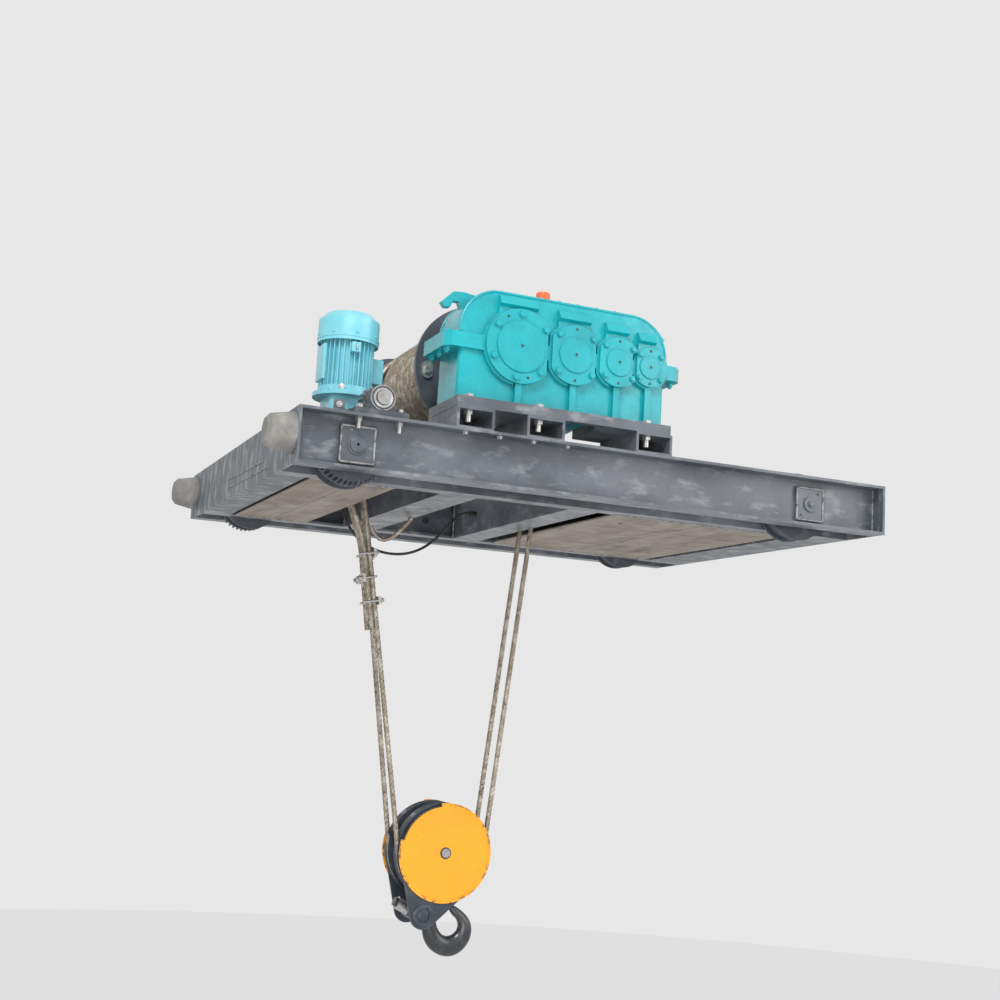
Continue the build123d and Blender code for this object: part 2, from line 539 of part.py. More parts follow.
with BuildPart() as gearbox_lower:
    block((GEARBOX_LEFT, GEARBOX_RIGHT), (GEARBOX_FRONT, GEARBOX_REAR), (BED_TOP, SHAFT_Z))
    fillet(gearbox_lower.edges().filter_by(Axis.Z), 18)
    block(BED_NOTCH, (INSIDE_Y[0], GEARBOX_REAR + 1), (BED_TOP - 1, SUMP_BOTTOM), Mode.SUBTRACT)
    split_flange(SPLIT_BOTTOM, SHAFT_Z)
    with BuildSketch(across(GEARBOX_FRONT)):
        for i in range(4):
            cover_face(i, 8)
    extrude(amount=GEARBOX_FRONT - BOSS_FACE)
    for x in SHAFT_XS:
        block((x - RIB_WIDTH / 2, x + RIB_WIDTH / 2), (BOSS_FACE, GEARBOX_FRONT), (BED_TOP, SHAFT_Z - 60))
    for x, radius in zip(SHAFT_XS, BEARING_RADII):
        rod(x, SHAFT_Z, GEARBOX_REAR - 1, SPLIT_REAR, radius + 18)
    block(
        (GEARBOX_LEFT - 80, GEARBOX_RIGHT + 80),
        (GEARBOX_FRONT - 60, GEARBOX_REAR + 60),
        (SHAFT_Z, LID_TOP),
        Mode.SUBTRACT,
    )
    block(INSIDE_X, INSIDE_Y, (SUMP_BOTTOM + GEARBOX_WALL, SHAFT_Z), Mode.SUBTRACT)
    shaft_holes(GEARBOX_FRONT - 60, GEARBOX_REAR + 60)
write(gearbox_lower.part, "gearbox_lower")

KNUCKLES = ((-431.0, -276.0, 774.0), (-185.0, -53.0, 756.0), (17.0, 112.0, 740.0), (160.0, 232.0, 723.0))
KNUCKLE_DEPTH = 44.0
LIFTING_HOOK_FRONT, LIFTING_HOOK_WIDTH = -735.0, 30.0
INSPECTION_X = (-253.0, 91.0)
with BuildPart() as gearbox_upper:
    with BuildSketch(across(GEARBOX_FRONT)):
        lid_profile(0)
    extrude(amount=GEARBOX_FRONT - GEARBOX_REAR)
    split_flange(SHAFT_Z, SPLIT_TOP)
    with BuildSketch(across(GEARBOX_FRONT)):
        for i in range(4):
            cover_face(i, 8)
    extrude(amount=GEARBOX_FRONT - BOSS_FACE)
    for x0, x1, z_top in KNUCKLES:
        with BuildSketch(Plane.YZ.offset(x0)):
            with BuildLine():
                Polyline(
                    (GEARBOX_FRONT + 2, SHAFT_Z),
                    (GEARBOX_FRONT - 16, SHAFT_Z),
                    (GEARBOX_FRONT - KNUCKLE_DEPTH + 26, z_top - 48),
                    (GEARBOX_FRONT - KNUCKLE_DEPTH + 8, z_top - 40),
                    (GEARBOX_FRONT - 16, z_top - 6),
                    (GEARBOX_FRONT + 2, z_top),
                    close=True,
                )
            make_face()
        extrude(amount=x1 - x0)
    for x, radius in zip(SHAFT_XS, BEARING_RADII):
        rod(x, SHAFT_Z, GEARBOX_REAR - 1, SPLIT_REAR, radius + 18)
    block(
        (GEARBOX_LEFT - 80, GEARBOX_RIGHT + 80),
        (GEARBOX_FRONT - 60, GEARBOX_REAR + 60),
        (SHAFT_Z - 200, SHAFT_Z),
        Mode.SUBTRACT,
    )
    with BuildSketch(across(INSIDE_Y[0])):
        lid_profile(GEARBOX_WALL)
    extrude(amount=INSIDE_Y[0] - INSIDE_Y[1], mode=Mode.SUBTRACT)
    shaft_holes(GEARBOX_FRONT - 60, GEARBOX_REAR + 60)
    hatch_x = (INSPECTION_X[0] + 30, INSPECTION_X[1] - 30)
    block(hatch_x, (-780, -660), (LID_TOP - 20, LID_TOP + 5), Mode.SUBTRACT)
    # lifting hooks cast on at both ends, open downwards
    for end, direction in ((GEARBOX_LEFT, -1), (GEARBOX_RIGHT, 1)):
        with BuildSketch(across(LIFTING_HOOK_FRONT)):
            with BuildLine():
                Polyline(
                    (end - direction * 130, LID_TOP - 6),
                    (end - direction * 40, LID_TOP + 6),
                    (end + direction * 2, LID_TOP + 2),
                    (end + direction * 48, LID_TOP - 44),
                    (end + direction * 34, LID_TOP - 62),
                    (end + direction * 12, LID_TOP - 60),
                    (end + direction * 2, LID_TOP - 34),
                    (end - direction * 20, LID_TOP - 34),
                    (end - direction * 36, LID_TOP - 70),
                    (end - direction * 70, LID_TOP - 62),
                    close=True,
                )
            make_face()
        extrude(amount=-LIFTING_HOOK_WIDTH)
write(gearbox_upper.part, "gearbox_upper")

REAR_FACE = SPLIT_REAR + 10.0
with BuildPart() as bearing_covers:
    for i, (x, boss) in enumerate(zip(SHAFT_XS, COVER_BOSSES)):
        with BuildSketch(across(BOSS_FACE)):
            cover_face(i, 0)
        extrude(amount=BOSS_FACE - COVER_FACE)
        rod(x, SHAFT_Z, COVER_FACE - 5, COVER_FACE, boss)
        rod(x, SHAFT_Z, BOSS_FACE, BOSS_FACE + 7, BEARING_RADII[i])
    for x, radius in zip(SHAFT_XS[:3], BEARING_RADII):
        rod(x, SHAFT_Z, SPLIT_REAR, REAR_FACE, radius + 16)
    rod(OUTPUT_X, SHAFT_Z, SPLIT_REAR - 1, REAR_FACE + 1, SHAFT_RADII[0] + 1, Mode.SUBTRACT)
write(bearing_covers.part, "bearing_covers")

COVER_BOLTS = (
    [38, 92, 145, 205, 262, 312],
    [45, 135, 225, 315],
    [45, 135, 225, 315],
    [45, 135, 225, 315],
)
BOLT_RINGS = (122.0, 100.0, 83.0, 65.0)
BOLT_SIZES = (11.0, 10.0, 9.0, 8.0)
SPLIT_BOLTS = [(x, y) for x in (-612.0, 331.0) for y in (-800.0, -720.0, -640.0)]
SPLIT_BOLTS += [(x, SPLIT_REAR - 11) for x in (-465.0, -218.0, 291.0)]
SPLIT_BOLT_SIZE = 10.5
with BuildPart() as gearbox_bolts:
    for x, angles, ring, size in zip(SHAFT_XS, COVER_BOLTS, BOLT_RINGS, BOLT_SIZES):
        for angle in angles:
            bolt_x, bolt_z = x + ring * cos(radians(angle)), SHAFT_Z + ring * sin(radians(angle))
            with BuildSketch(across(COVER_FACE)):
                with Locations((bolt_x, bolt_z)):
                    RegularPolygon(size, 6)
            extrude(amount=7)
    for x, y in SPLIT_BOLTS:
        for z, height in ((SPLIT_TOP, 11.0), (SPLIT_BOTTOM - 14.0, 14.0)):
            with BuildSketch(Plane.XY.offset(z)):
                with Locations((x, y)):
                    RegularPolygon(SPLIT_BOLT_SIZE, 6)
            extrude(amount=height)
write(gearbox_bolts.part, "gearbox_bolts")

with BuildPart() as inspection_cover:
    block(INSPECTION_X, (-800, -640), (LID_TOP, LID_TOP + 12))
    fillet(inspection_cover.edges().filter_by(Axis.Z), 14)
    block((INSPECTION_X[0] + 24, INSPECTION_X[1] - 24), (-776, -664), (LID_TOP + 12, LID_TOP + 18))
write(inspection_cover.part, "inspection_cover")

BREATHER_X, BREATHER_Y = -200.0, -720.0
with BuildPart() as breather_cap:
    with Locations((BREATHER_X, BREATHER_Y, LID_TOP + 18 + 8)):
        Cylinder(14, 16)
    with Locations((BREATHER_X, BREATHER_Y, LID_TOP + 18 + 16 + 15)):
        Cylinder(27, 30)
    fillet(breather_cap.edges().group_by(Axis.Z)[-1], 8)
write(breather_cap.part, "breather_cap")

with BuildPart() as frame_bolts:
    for x, y, (shank, hexagon), z_low, z_head, z_nut in FRAME_BOLTS:
        with Locations((x, y, (z_low + z_head) / 2)):
            Cylinder(shank, z_head - z_low)
        for z in (z_head, z_nut):
            with BuildSketch(Plane.XY.offset(z)):
                with Locations((x, y)):
                    RegularPolygon(hexagon, 6)
            extrude(amount=NUT_HEIGHT)
write(frame_bolts.part, "frame_bolts")

with BuildPart() as gearbox_bearings:
    for x, outer, inner in zip(SHAFT_XS, BEARING_RADII, SHAFT_RADII):
        for y0 in (GEARBOX_FRONT - 10.0, GEARBOX_REAR - 16.0):
            rod(x, SHAFT_Z, y0, y0 + BEARING_WIDTH, outer)
            rod(x, SHAFT_Z, y0, y0 + BEARING_WIDTH, inner + RUNNING_GAP, Mode.SUBTRACT)
write(gearbox_bearings.part, "gearbox_bearings")

SHAFT_FRONT, SHAFT_BACK = GEARBOX_FRONT - 8.0, GEARBOX_REAR + 14.0
SHAFT_ENDS = (-424.0, SHAFT_BACK, SHAFT_BACK, -420.0)
SHAFT_NAMES = ("output_shaft", "second_shaft", "third_shaft", "input_shaft")


for index, shaft_name in enumerate(SHAFT_NAMES):
    with BuildPart() as gear_shaft:
        rod(SHAFT_XS[index], SHAFT_Z, SHAFT_FRONT, SHAFT_ENDS[index], SHAFT_RADII[index])
        if index > 0:
            module, _, pinion_teeth = STAGES[index - 1]
            y_from, y_to = STAGE_PLANES[index - 1]
            turn = 180 + 180 / pinion_teeth
            gear(SHAFT_XS[index], SHAFT_Z, y_from - 2, y_to + 2, module, pinion_teeth, turn)
    if index < len(STAGES):
        module, wheel_teeth, _ = STAGES[index]
        place = (SHAFT_XS[index], SHAFT_Z, *STAGE_PLANES[index])
        wheel = bored_gear(*place, module, wheel_teeth, 0, SHAFT_RADII[index])
        write(Compound(children=[gear_shaft.part, wheel]), shaft_name)
    else:
        write(gear_shaft.part, shaft_name)

# ---------------------------------------------------------------- rope drum
with BuildPart() as drum_shell:
    rod(OUTPUT_X, SHAFT_Z, DRUM_FRONT, DRUM_BACK, DRUM_RADIUS)
    rod(OUTPUT_X, SHAFT_Z, DRUM_FRONT - 1, DRUM_BACK + 1, DRUM_BORE, Mode.SUBTRACT)
write(drum_shell.part, "drum_shell")

TAIL_SHAFT_END = 740.0
with BuildPart() as drum_flanges:
    for y0, y1 in ((DRUM_FRONT - DRUM_FLANGE, DRUM_FRONT), (DRUM_BACK, DRUM_BACK + DRUM_FLANGE)):
        rod(OUTPUT_X, SHAFT_Z, y0, y1, DRUM_FLANGE_RADIUS)
        for angle in (75, 195, 315):
            hole_x = OUTPUT_X + 130 * cos(radians(angle))
            rod(hole_x, SHAFT_Z + 130 * sin(radians(angle)), y0 - 1, y1 + 1, 24, Mode.SUBTRACT)
    rod(OUTPUT_X, SHAFT_Z, DRUM_BACK + DRUM_FLANGE, TAIL_SHAFT_END, DRUM_SHAFT_RADIUS)
    rod(OUTPUT_X, SHAFT_Z, DRUM_BACK + DRUM_FLANGE, DRUM_BACK + DRUM_FLANGE + 30, 78)
write(drum_flanges.part, "drum_flanges")

LEAD_ROOM = ROPE_RADIUS + 2.0
with BuildPart() as rope_windings:
    for y0, y1 in ((DRUM_FRONT + 4, FRONT_ROPE_Y - LEAD_ROOM), (REAR_ROPE_Y + LEAD_ROOM, DRUM_BACK - 4)):
        rod(OUTPUT_X, SHAFT_Z, y0, y1, WOUND_RADIUS)
        rod(OUTPUT_X, SHAFT_Z, y0 - 1, y1 + 1, DRUM_RADIUS, Mode.SUBTRACT)
write(rope_windings.part, "rope_windings")

COUPLING_FRONT = -540.0
with BuildPart() as drum_coupling:
    drum_face = DRUM_FRONT - DRUM_FLANGE
    rod(OUTPUT_X, SHAFT_Z, COUPLING_FRONT, drum_face, 90)
    rod(OUTPUT_X, SHAFT_Z, drum_face - 22, drum_face, 160)
    rod(OUTPUT_X, SHAFT_Z, COUPLING_FRONT - 1, SHAFT_ENDS[0], SHAFT_RADII[0], Mode.SUBTRACT)
    with BuildSketch(across(drum_face - 22)):
        with Locations((OUTPUT_X, SHAFT_Z)):
            with PolarLocations(136, 8):
                RegularPolygon(13, 6)
    extrude(amount=10)
write(drum_coupling.part, "drum_coupling")

CLAMP_RING = 214.0
with BuildPart() as rope_clamps:
    for angle in (188, 68):
        clamp_x = OUTPUT_X + CLAMP_RING * cos(radians(angle))
        clamp_z = SHAFT_Z + CLAMP_RING * sin(radians(angle))
        for face, direction in ((DRUM_FRONT - DRUM_FLANGE, -1), (DRUM_BACK + DRUM_FLANGE, 1)):
            with BuildSketch(Plane(origin=(clamp_x, face, clamp_z), z_dir=(0, direction, 0))):
                SlotCenterToCenter(24, 46)
            extrude(amount=12)
            rod(clamp_x, clamp_z, *sorted((face + direction * 12, face + direction * 24)), 15)
write(rope_clamps.part, "rope_clamps")

DRUM_STAND_Y = (640.0, 720.0)
with BuildPart() as drum_pedestal:
    y_middle = sum(DRUM_STAND_Y) / 2
    rod(OUTPUT_X, SHAFT_Z, *DRUM_STAND_Y, 105)
    block((OUTPUT_X - 105, OUTPUT_X + 105), (y_middle - 25, y_middle + 25), (FRAME_TOP, SHAFT_Z))
    block((OUTPUT_X - 150, OUTPUT_X + 150), (INNER_EDGE_Y, 860.0), (FRAME_TOP, FRAME_TOP + 20))
    bore = DRUM_SHAFT_RADIUS + RUNNING_GAP
    rod(OUTPUT_X, SHAFT_Z, DRUM_STAND_Y[0] - 1, DRUM_STAND_Y[1] + 1, bore, Mode.SUBTRACT)
write(drum_pedestal.part, "drum_pedestal")

# ---------------------------------------------------------------- hoist motor behind the input shaft
INPUT_X = SHAFT_XS[-1]
BELL_FRONT, BELL_BACK, MOTOR_BACK, BRAKE_BACK, HOIST_END = -574.0, -400.0, -90.0, -30.0, 45.0
HOIST_BARREL, HOIST_FINS = 112.0, 128.0
with BuildPart() as hoist_motor_body:
    rod(INPUT_X, SHAFT_Z, SPLIT_REAR, BELL_FRONT, 58)
    rod(INPUT_X, SHAFT_Z, BELL_FRONT, BELL_BACK, 104)
    rod(INPUT_X, SHAFT_Z, BELL_FRONT, BELL_FRONT + 14, 120)
    rod(INPUT_X, SHAFT_Z, BELL_BACK - 16, BELL_BACK, 128)
    rod(INPUT_X, SHAFT_Z, BELL_BACK, MOTOR_BACK, HOIST_BARREL)
    rod(INPUT_X, SHAFT_Z, MOTOR_BACK, BRAKE_BACK, 124)
    with BuildSketch(across(BELL_BACK)):
        with Locations((INPUT_X, SHAFT_Z)):
            with PolarLocations((HOIST_BARREL + HOIST_FINS) / 2 - 4, 36):
                Rectangle(HOIST_FINS - HOIST_BARREL + 8, 4)
    extrude(amount=BELL_BACK - MOTOR_BACK)
    block((INPUT_X - 70, INPUT_X + 70), (-320, -190), (SHAFT_Z + 90, SHAFT_Z + 168))
    rod(INPUT_X, SHAFT_Z, BELL_FRONT + 12, BELL_BACK - 16, 88, Mode.SUBTRACT)
    rod(INPUT_X, SHAFT_Z, BELL_BACK + 12, MOTOR_BACK - 12, 98, Mode.SUBTRACT)
    rod(INPUT_X, SHAFT_Z, MOTOR_BACK + 10, BRAKE_BACK - 10, 108, Mode.SUBTRACT)
    rod(INPUT_X, SHAFT_Z, SPLIT_REAR - 1, BRAKE_BACK + 1, SHAFT_RADII[3] + RUNNING_GAP, Mode.SUBTRACT)
write(hoist_motor_body.part, "hoist_motor_body")

with BuildPart() as hoist_motor_cowl:
    rod(INPUT_X, SHAFT_Z, BRAKE_BACK, HOIST_END, 130)
    rod(INPUT_X, SHAFT_Z, BRAKE_BACK - 1, HOIST_END - 4, 126, Mode.SUBTRACT)
write(hoist_motor_cowl.part, "hoist_motor_cowl")

with BuildPart() as hoist_motor_rotor:
    rod(INPUT_X, SHAFT_Z, SHAFT_ENDS[3], HOIST_END - 20, SHAFT_RADII[3])
    rod(INPUT_X, SHAFT_Z, -370, -130, 90)
    rod(INPUT_X, SHAFT_Z, -68, -52, 96)
    rod(INPUT_X, SHAFT_Z, -10, 12, 60)
    rod(INPUT_X, SHAFT_Z, -480, -422, 60)
    rod(INPUT_X, SHAFT_Z, -481, -420, SHAFT_RADII[3], Mode.SUBTRACT)
write(hoist_motor_rotor.part, "hoist_motor_rotor")


# ---------------------------------------------------------------- sheaves
GROOVE_RADIUS = ROPE_RADIUS + 0.6


def sheave(x, y, z, pitch_radius, bore, hub):
    """A grooved rope wheel turning about Y."""
    rim = pitch_radius + SHEAVE_RIM_OVER_PITCH
    with BuildSketch(Plane.XY.offset(z)) as section:
        with Locations(((x + x + hub + bore) / 2, y)):
            Rectangle(hub - bore, 2 * SHEAVE_HALF_WIDTH)
        with Locations((x + (hub + pitch_radius - 20) / 2, y)):
            Rectangle(pitch_radius - 20 - hub + 2, 14)
        with Locations((x + pitch_radius - 9, y)):
            Rectangle(2 * (SHEAVE_RIM_OVER_PITCH + 9), 2 * SHEAVE_HALF_WIDTH - 8)
        with Locations((x + pitch_radius, y)):
            Circle(GROOVE_RADIUS, mode=Mode.SUBTRACT)
        with BuildLine() as flare:
            Polyline(
                (x + pitch_radius, y - GROOVE_RADIUS),
                (x + rim + 1, y - GROOVE_RADIUS - 8),
                (x + rim + 1, y + GROOVE_RADIUS + 8),
                (x + pitch_radius, y + GROOVE_RADIUS),
                close=True,
            )
        make_face(flare.edges(), mode=Mode.SUBTRACT)
    revolve(section.sketch, axis=Axis((x, y, z), (0, 1, 0)))


for position, rope_y in (("front", FRONT_ROPE_Y), ("rear", REAR_ROPE_Y)):
    with BuildPart() as guide_sheave:
        sheave(GUIDE_X, rope_y, GUIDE_Z, GUIDE_RADIUS, GUIDE_AXLE + RUNNING_GAP, 46)
    write(guide_sheave.part, f"guide_sheave_{position}")
    with BuildPart() as block_sheave:
        sheave(BLOCK_X, rope_y, BLOCK_Z, BLOCK_RADIUS, BLOCK_AXLE + RUNNING_GAP, 62)
    write(block_sheave.part, f"block_sheave_{position}")

BRACKET_PLATES = ((86.0, 98.0), (189.0, 201.0), (292.0, 304.0))
with BuildPart() as guide_bracket:
    block((2.0, 128.0), (76.0, 314.0), (FRAME_TOP, FRAME_TOP + 10))
    for y0, y1 in BRACKET_PLATES:
        with BuildSketch(across(y0)):
            with BuildLine():
                Polyline(
                    (8, FRAME_TOP + 10),
                    (122, FRAME_TOP + 10),
                    (GUIDE_X + 45, GUIDE_Z),
                    (GUIDE_X - 45, GUIDE_Z),
                    close=True,
                )
            make_face()
            with Locations((GUIDE_X, GUIDE_Z)):
                Circle(45)
        extrude(amount=y0 - y1)
    rod(GUIDE_X, GUIDE_Z, 70, 320, GUIDE_AXLE)
write(guide_bracket.part, "guide_bracket")


# ---------------------------------------------------------------- ropes
def heading(angle):
    """Unit vector along a heading and the one to its left."""
    return Vector(cos(angle), sin(angle)), Vector(-sin(angle), cos(angle))


def line_between(centre_a, radius_a, side_a, centre_b, radius_b, side_b):
    """The rope's straight run from one wheel to the next, as its two ends and its heading.

    A side is -1 where the wheel lies to the right of the rope's way and 1 where it lies to the left.
    """
    between = centre_b - centre_a
    direction = atan2(between.Y, between.X)
    angle = direction - asin((side_b * radius_b - side_a * radius_a) / between.length)
    _, left = heading(angle)
    return centre_a - left * side_a * radius_a, centre_b - left * side_b * radius_b, angle


def wheel_arc(centre, radius, start, end, side):
    """The arc of rope round a wheel."""
    turn = atan2((end - centre).Y, (end - centre).X) - atan2((start - centre).Y, (start - centre).X)
    turn = turn % (2 * pi) if side > 0 else -((-turn) % (2 * pi))
    first = start - centre
    middle = centre + Vector(
        first.X * cos(turn / 2) - first.Y * sin(turn / 2), first.X * sin(turn / 2) + first.Y * cos(turn / 2)
    )
    return ThreePointArc((start.X, start.Y), (middle.X, middle.Y), (end.X, end.Y))


DRUM = Vector(OUTPUT_X, SHAFT_Z)
GUIDE = Vector(GUIDE_X, GUIDE_Z)
BLOCK = Vector(BLOCK_X, BLOCK_Z)
THIMBLES = (Vector(-638.0, ANCHOR_Z), Vector(-608.0, ANCHOR_Z))
TAIL_BEND = 200.0


def rope_run(thimble):
    """Key points of one rope, in X and Z."""
    off_drum, on_guide, _ = line_between(DRUM, ROPE_PITCH_RADIUS, -1, GUIDE, GUIDE_RADIUS, -1)
    off_guide, on_block, _ = line_between(GUIDE, GUIDE_RADIUS, -1, BLOCK, BLOCK_RADIUS, -1)
    off_block, on_thimble, angle = line_between(BLOCK, BLOCK_RADIUS, -1, thimble, THIMBLE_RADIUS, 1)
    along, left = heading(angle)
    reach = (TAIL_JOIN_Z - on_thimble.Y) / along.Y
    join = on_thimble + along * reach + left * TAIL_SPACING
    tail_end = on_thimble + along * ((TAIL_END_Z - on_thimble.Y) / along.Y) + left * TAIL_SPACING
    off_thimble, _, _ = line_between(thimble, THIMBLE_RADIUS, 1, join, 0.0, 1)
    return off_drum, on_guide, off_guide, on_block, off_block, on_thimble, off_thimble, join, tail_end


def flat(vector):
    return vector.X, vector.Y


for position, rope_y, thimble in (("front", FRONT_ROPE_Y, THIMBLES[0]), ("rear", REAR_ROPE_Y, THIMBLES[1])):
    run = rope_run(thimble)
    off_drum, on_guide, off_guide, on_block, off_block, on_thimble, off_thimble, join, tail_end = run
    with BuildPart() as rope:
        with BuildLine(across(rope_y)) as route:
            Line(flat(off_drum), flat(on_guide))
            wheel_arc(GUIDE, GUIDE_RADIUS, on_guide, off_guide, -1)
            Line(flat(off_guide), flat(on_block))
            wheel_arc(BLOCK, BLOCK_RADIUS, on_block, off_block, -1)
            Line(flat(off_block), flat(on_thimble))
            wheel_arc(thimble, THIMBLE_RADIUS, on_thimble, off_thimble, 1)
            FilletPolyline(flat(off_thimble), flat(join), flat(tail_end), radius=TAIL_BEND)
        with BuildSketch(Plane(origin=route.wires()[0] @ 0, z_dir=route.wires()[0] % 0)):
            Circle(ROPE_RADIUS)
        sweep(path=route.wires()[0])
    print(position, "rope", round(route.wires()[0].length), "mm,", round(rope.part.volume), "mm3,",
          round(route.wires()[0].length * pi * ROPE_RADIUS**2), "expected")
    write(rope.part, f"rope_{position}")

LUG_INNER, LUG_OUTER = 14.0, 24.0
ANCHOR_BEAM_X = (-688.0, -575.0)
with BuildPart() as rope_anchor:
    block(ANCHOR_BEAM_X, (-INNER_EDGE_Y, INNER_EDGE_Y), (FRAME_TOP - 50, FRAME_TOP))
    block(
        (ANCHOR_BEAM_X[0] + 8, ANCHOR_BEAM_X[1] - 8),
        (-INNER_EDGE_Y, INNER_EDGE_Y),
        (FRAME_TOP - 42, FRAME_TOP - 8),
        Mode.SUBTRACT,
    )
    for rope_y, thimble in zip(ROPE_PLANES, THIMBLES):
        for y0, y1 in ((rope_y - LUG_OUTER, rope_y - LUG_INNER), (rope_y + LUG_INNER, rope_y + LUG_OUTER)):
            block((thimble.X - 26, thimble.X + 26), (y0, y1), (ANCHOR_Z - 26, FRAME_TOP - 50))
        rod(thimble.X, ANCHOR_Z, rope_y - LUG_OUTER - 8, rope_y + LUG_OUTER + 8, 12)
        rod(thimble.X, ANCHOR_Z, rope_y - 12, rope_y + 12, THIMBLE_RADIUS - ROPE_RADIUS)
write(rope_anchor.part, "rope_anchor")

CLIP_LEG_Y, CLIP_LEG, CLIP_BOW = 19.0, 5.0, 6.5
BOW_OFFSET = TAIL_SPACING + CLIP_BOW + 0.5
with BuildPart() as rope_clips:
    for rope_y, thimble in zip(ROPE_PLANES, THIMBLES):
        _, _, _, _, off_block, on_thimble, _, _, _ = rope_run(thimble)
        along = (on_thimble - off_block).normalized()
        left = Vector(-along.Y, along.X)
        for number, height in enumerate(CLIP_HEIGHTS):
            live = on_thimble + along * ((height - on_thimble.Y) / along.Y)
            middle = live + left * (TAIL_SPACING / 2)
            out = left * (1 if number % 2 else -1)
            clip_plane = Plane(
                origin=(middle.X, rope_y, middle.Y), x_dir=(out.X, 0, out.Y), z_dir=(0, 1, 0)
            )
            with BuildSketch(clip_plane.offset(-CLIP_LEG_Y - 7)):
                with Locations((TAIL_SPACING + 8, 0)):
                    Rectangle(14, 26)
            extrude(amount=2 * (CLIP_LEG_Y + 7))
            for leg_y in (-CLIP_LEG_Y, CLIP_LEG_Y):
                foot = middle - out * BOW_OFFSET
                leg_plane = Plane(origin=(foot.X, rope_y + leg_y, foot.Y), z_dir=(out.X, 0, out.Y))
                with BuildSketch(leg_plane):
                    Circle(CLIP_LEG)
                extrude(amount=BOW_OFFSET + TAIL_SPACING + 27)
                nut = middle + out * (TAIL_SPACING + 15)
                with BuildSketch(Plane(origin=(nut.X, rope_y + leg_y, nut.Y), z_dir=(out.X, 0, out.Y))):
                    RegularPolygon(9, 6)
                extrude(amount=9)
            bow = middle - out * BOW_OFFSET
            bow_end = CLIP_LEG_Y + CLIP_BOW + 1
            rod(bow.X, bow.Y, rope_y - bow_end, rope_y + bow_end, CLIP_BOW)
write(rope_clips.part, "rope_clips")


def corner_radii(points):
    """The largest tangent arcs that a route's corners have room for."""
    radii = []
    for before, corner, after in zip(points, points[1:], points[2:]):
        arriving, leaving = Vector(corner) - Vector(before), Vector(after) - Vector(corner)
        half_turn = radians(arriving.get_angle(leaving)) / 2
        radii.append(0.45 * min(arriving.length, leaving.length) / tan(half_turn))
    return radii


def cord(points, radius, name):
    """A round cord along a route of straight runs joined by arcs."""
    radii = corner_radii(points)
    with BuildPart() as tube:
        with BuildLine() as route:
            FilletPolyline(*points, radius=radii)
        with BuildSketch(Plane(origin=route.wires()[0] @ 0, z_dir=route.wires()[0] % 0)) as section:
            Circle(radius)
        sweep(section.sketch, path=route.wires()[0])
    length = route.wires()[0].length
    print(name, round(length), "mm, radii", [round(r) for r in radii])
    print("  volume", round(tube.part.volume), "expected", round(length * pi * radius**2))
    write(tube.part, name)


CABLE_RADIUS, CABLE_Y = 6.0, 350.0
CABLE_ROUTE = (
    (-630.0, CABLE_Y, 120.0),
    (-630.0, CABLE_Y, 72.0),
    (-610.0, CABLE_Y, 20.0),
    (-575.0, CABLE_Y + 3, -28.0),
    (-522.0, CABLE_Y + 6, -70.0),
    (-455.0, CABLE_Y + 4, -98.0),
    (-380.0, CABLE_Y, -106.0),
    (-305.0, CABLE_Y - 5, -94.0),
    (-238.0, CABLE_Y - 7, -60.0),
    (-180.0, CABLE_Y - 5, -10.0),
    (-135.0, CABLE_Y - 2, 45.0),
    (-96.0, CABLE_Y, 92.0),
    (-70.0, CABLE_Y, 116.0),
    (-30.0, CABLE_Y, 116.0),
)
cord(CABLE_ROUTE, CABLE_RADIUS, "signal_cable")

with BuildPart() as cable_glands:
    with Locations((CABLE_ROUTE[0][0], CABLE_Y, 150)):
        Cylinder(12, 60)
    end_x, end_y, end_z = CABLE_ROUTE[-1]
    with BuildSketch(Plane(origin=(end_x, end_y, end_z), z_dir=(1, 0, 0))):
        Circle(12)
    extrude(amount=-end_x)
write(cable_glands.part, "cable_glands")

# ---------------------------------------------------------------- hook block
AXLE_STUB, AXLE_COLLAR = 18.0, 40.0
with BuildPart() as sheave_axle:
    rod(BLOCK_X, BLOCK_Z, BLOCK_Y - CHEEK_OUTER, BLOCK_Y + CHEEK_OUTER, BLOCK_AXLE)
    rod(BLOCK_X, BLOCK_Z, BLOCK_Y - COVER_OUTER - 6, BLOCK_Y + COVER_OUTER + 6, AXLE_STUB)
    rod(BLOCK_X, BLOCK_Z, BLOCK_Y - 31.5, BLOCK_Y + 31.5, AXLE_COLLAR)
write(sheave_axle.part, "sheave_axle")

CHEEK_TOP_RADIUS, CHEEK_FOOT_RADIUS = 195.0, 57.0
PIN = Vector(PIN_X, PIN_Z)
near_left, far_left, _ = line_between(BLOCK, CHEEK_TOP_RADIUS, -1, PIN, CHEEK_FOOT_RADIUS, -1)
near_right, far_right, _ = line_between(BLOCK, CHEEK_TOP_RADIUS, 1, PIN, CHEEK_FOOT_RADIUS, 1)
with BuildPart() as block_cheeks:
    for y0, y1 in ((-CHEEK_OUTER, -CHEEK_INNER), (CHEEK_INNER, CHEEK_OUTER)):
        with BuildSketch(across(BLOCK_Y + y0)):
            with Locations(flat(BLOCK)):
                Circle(CHEEK_TOP_RADIUS)
            with Locations(flat(PIN)):
                Circle(CHEEK_FOOT_RADIUS)
            with BuildLine():
                Polyline(flat(near_left), flat(far_left), flat(far_right), flat(near_right), close=True)
            make_face()
            with Locations(flat(BLOCK)):
                Circle(BLOCK_AXLE + RUNNING_GAP, mode=Mode.SUBTRACT)
            with Locations(flat(PIN)):
                Circle(PIN_RADIUS + RUNNING_GAP, mode=Mode.SUBTRACT)
        extrude(amount=y0 - y1)
write(block_cheeks.part, "block_cheeks")

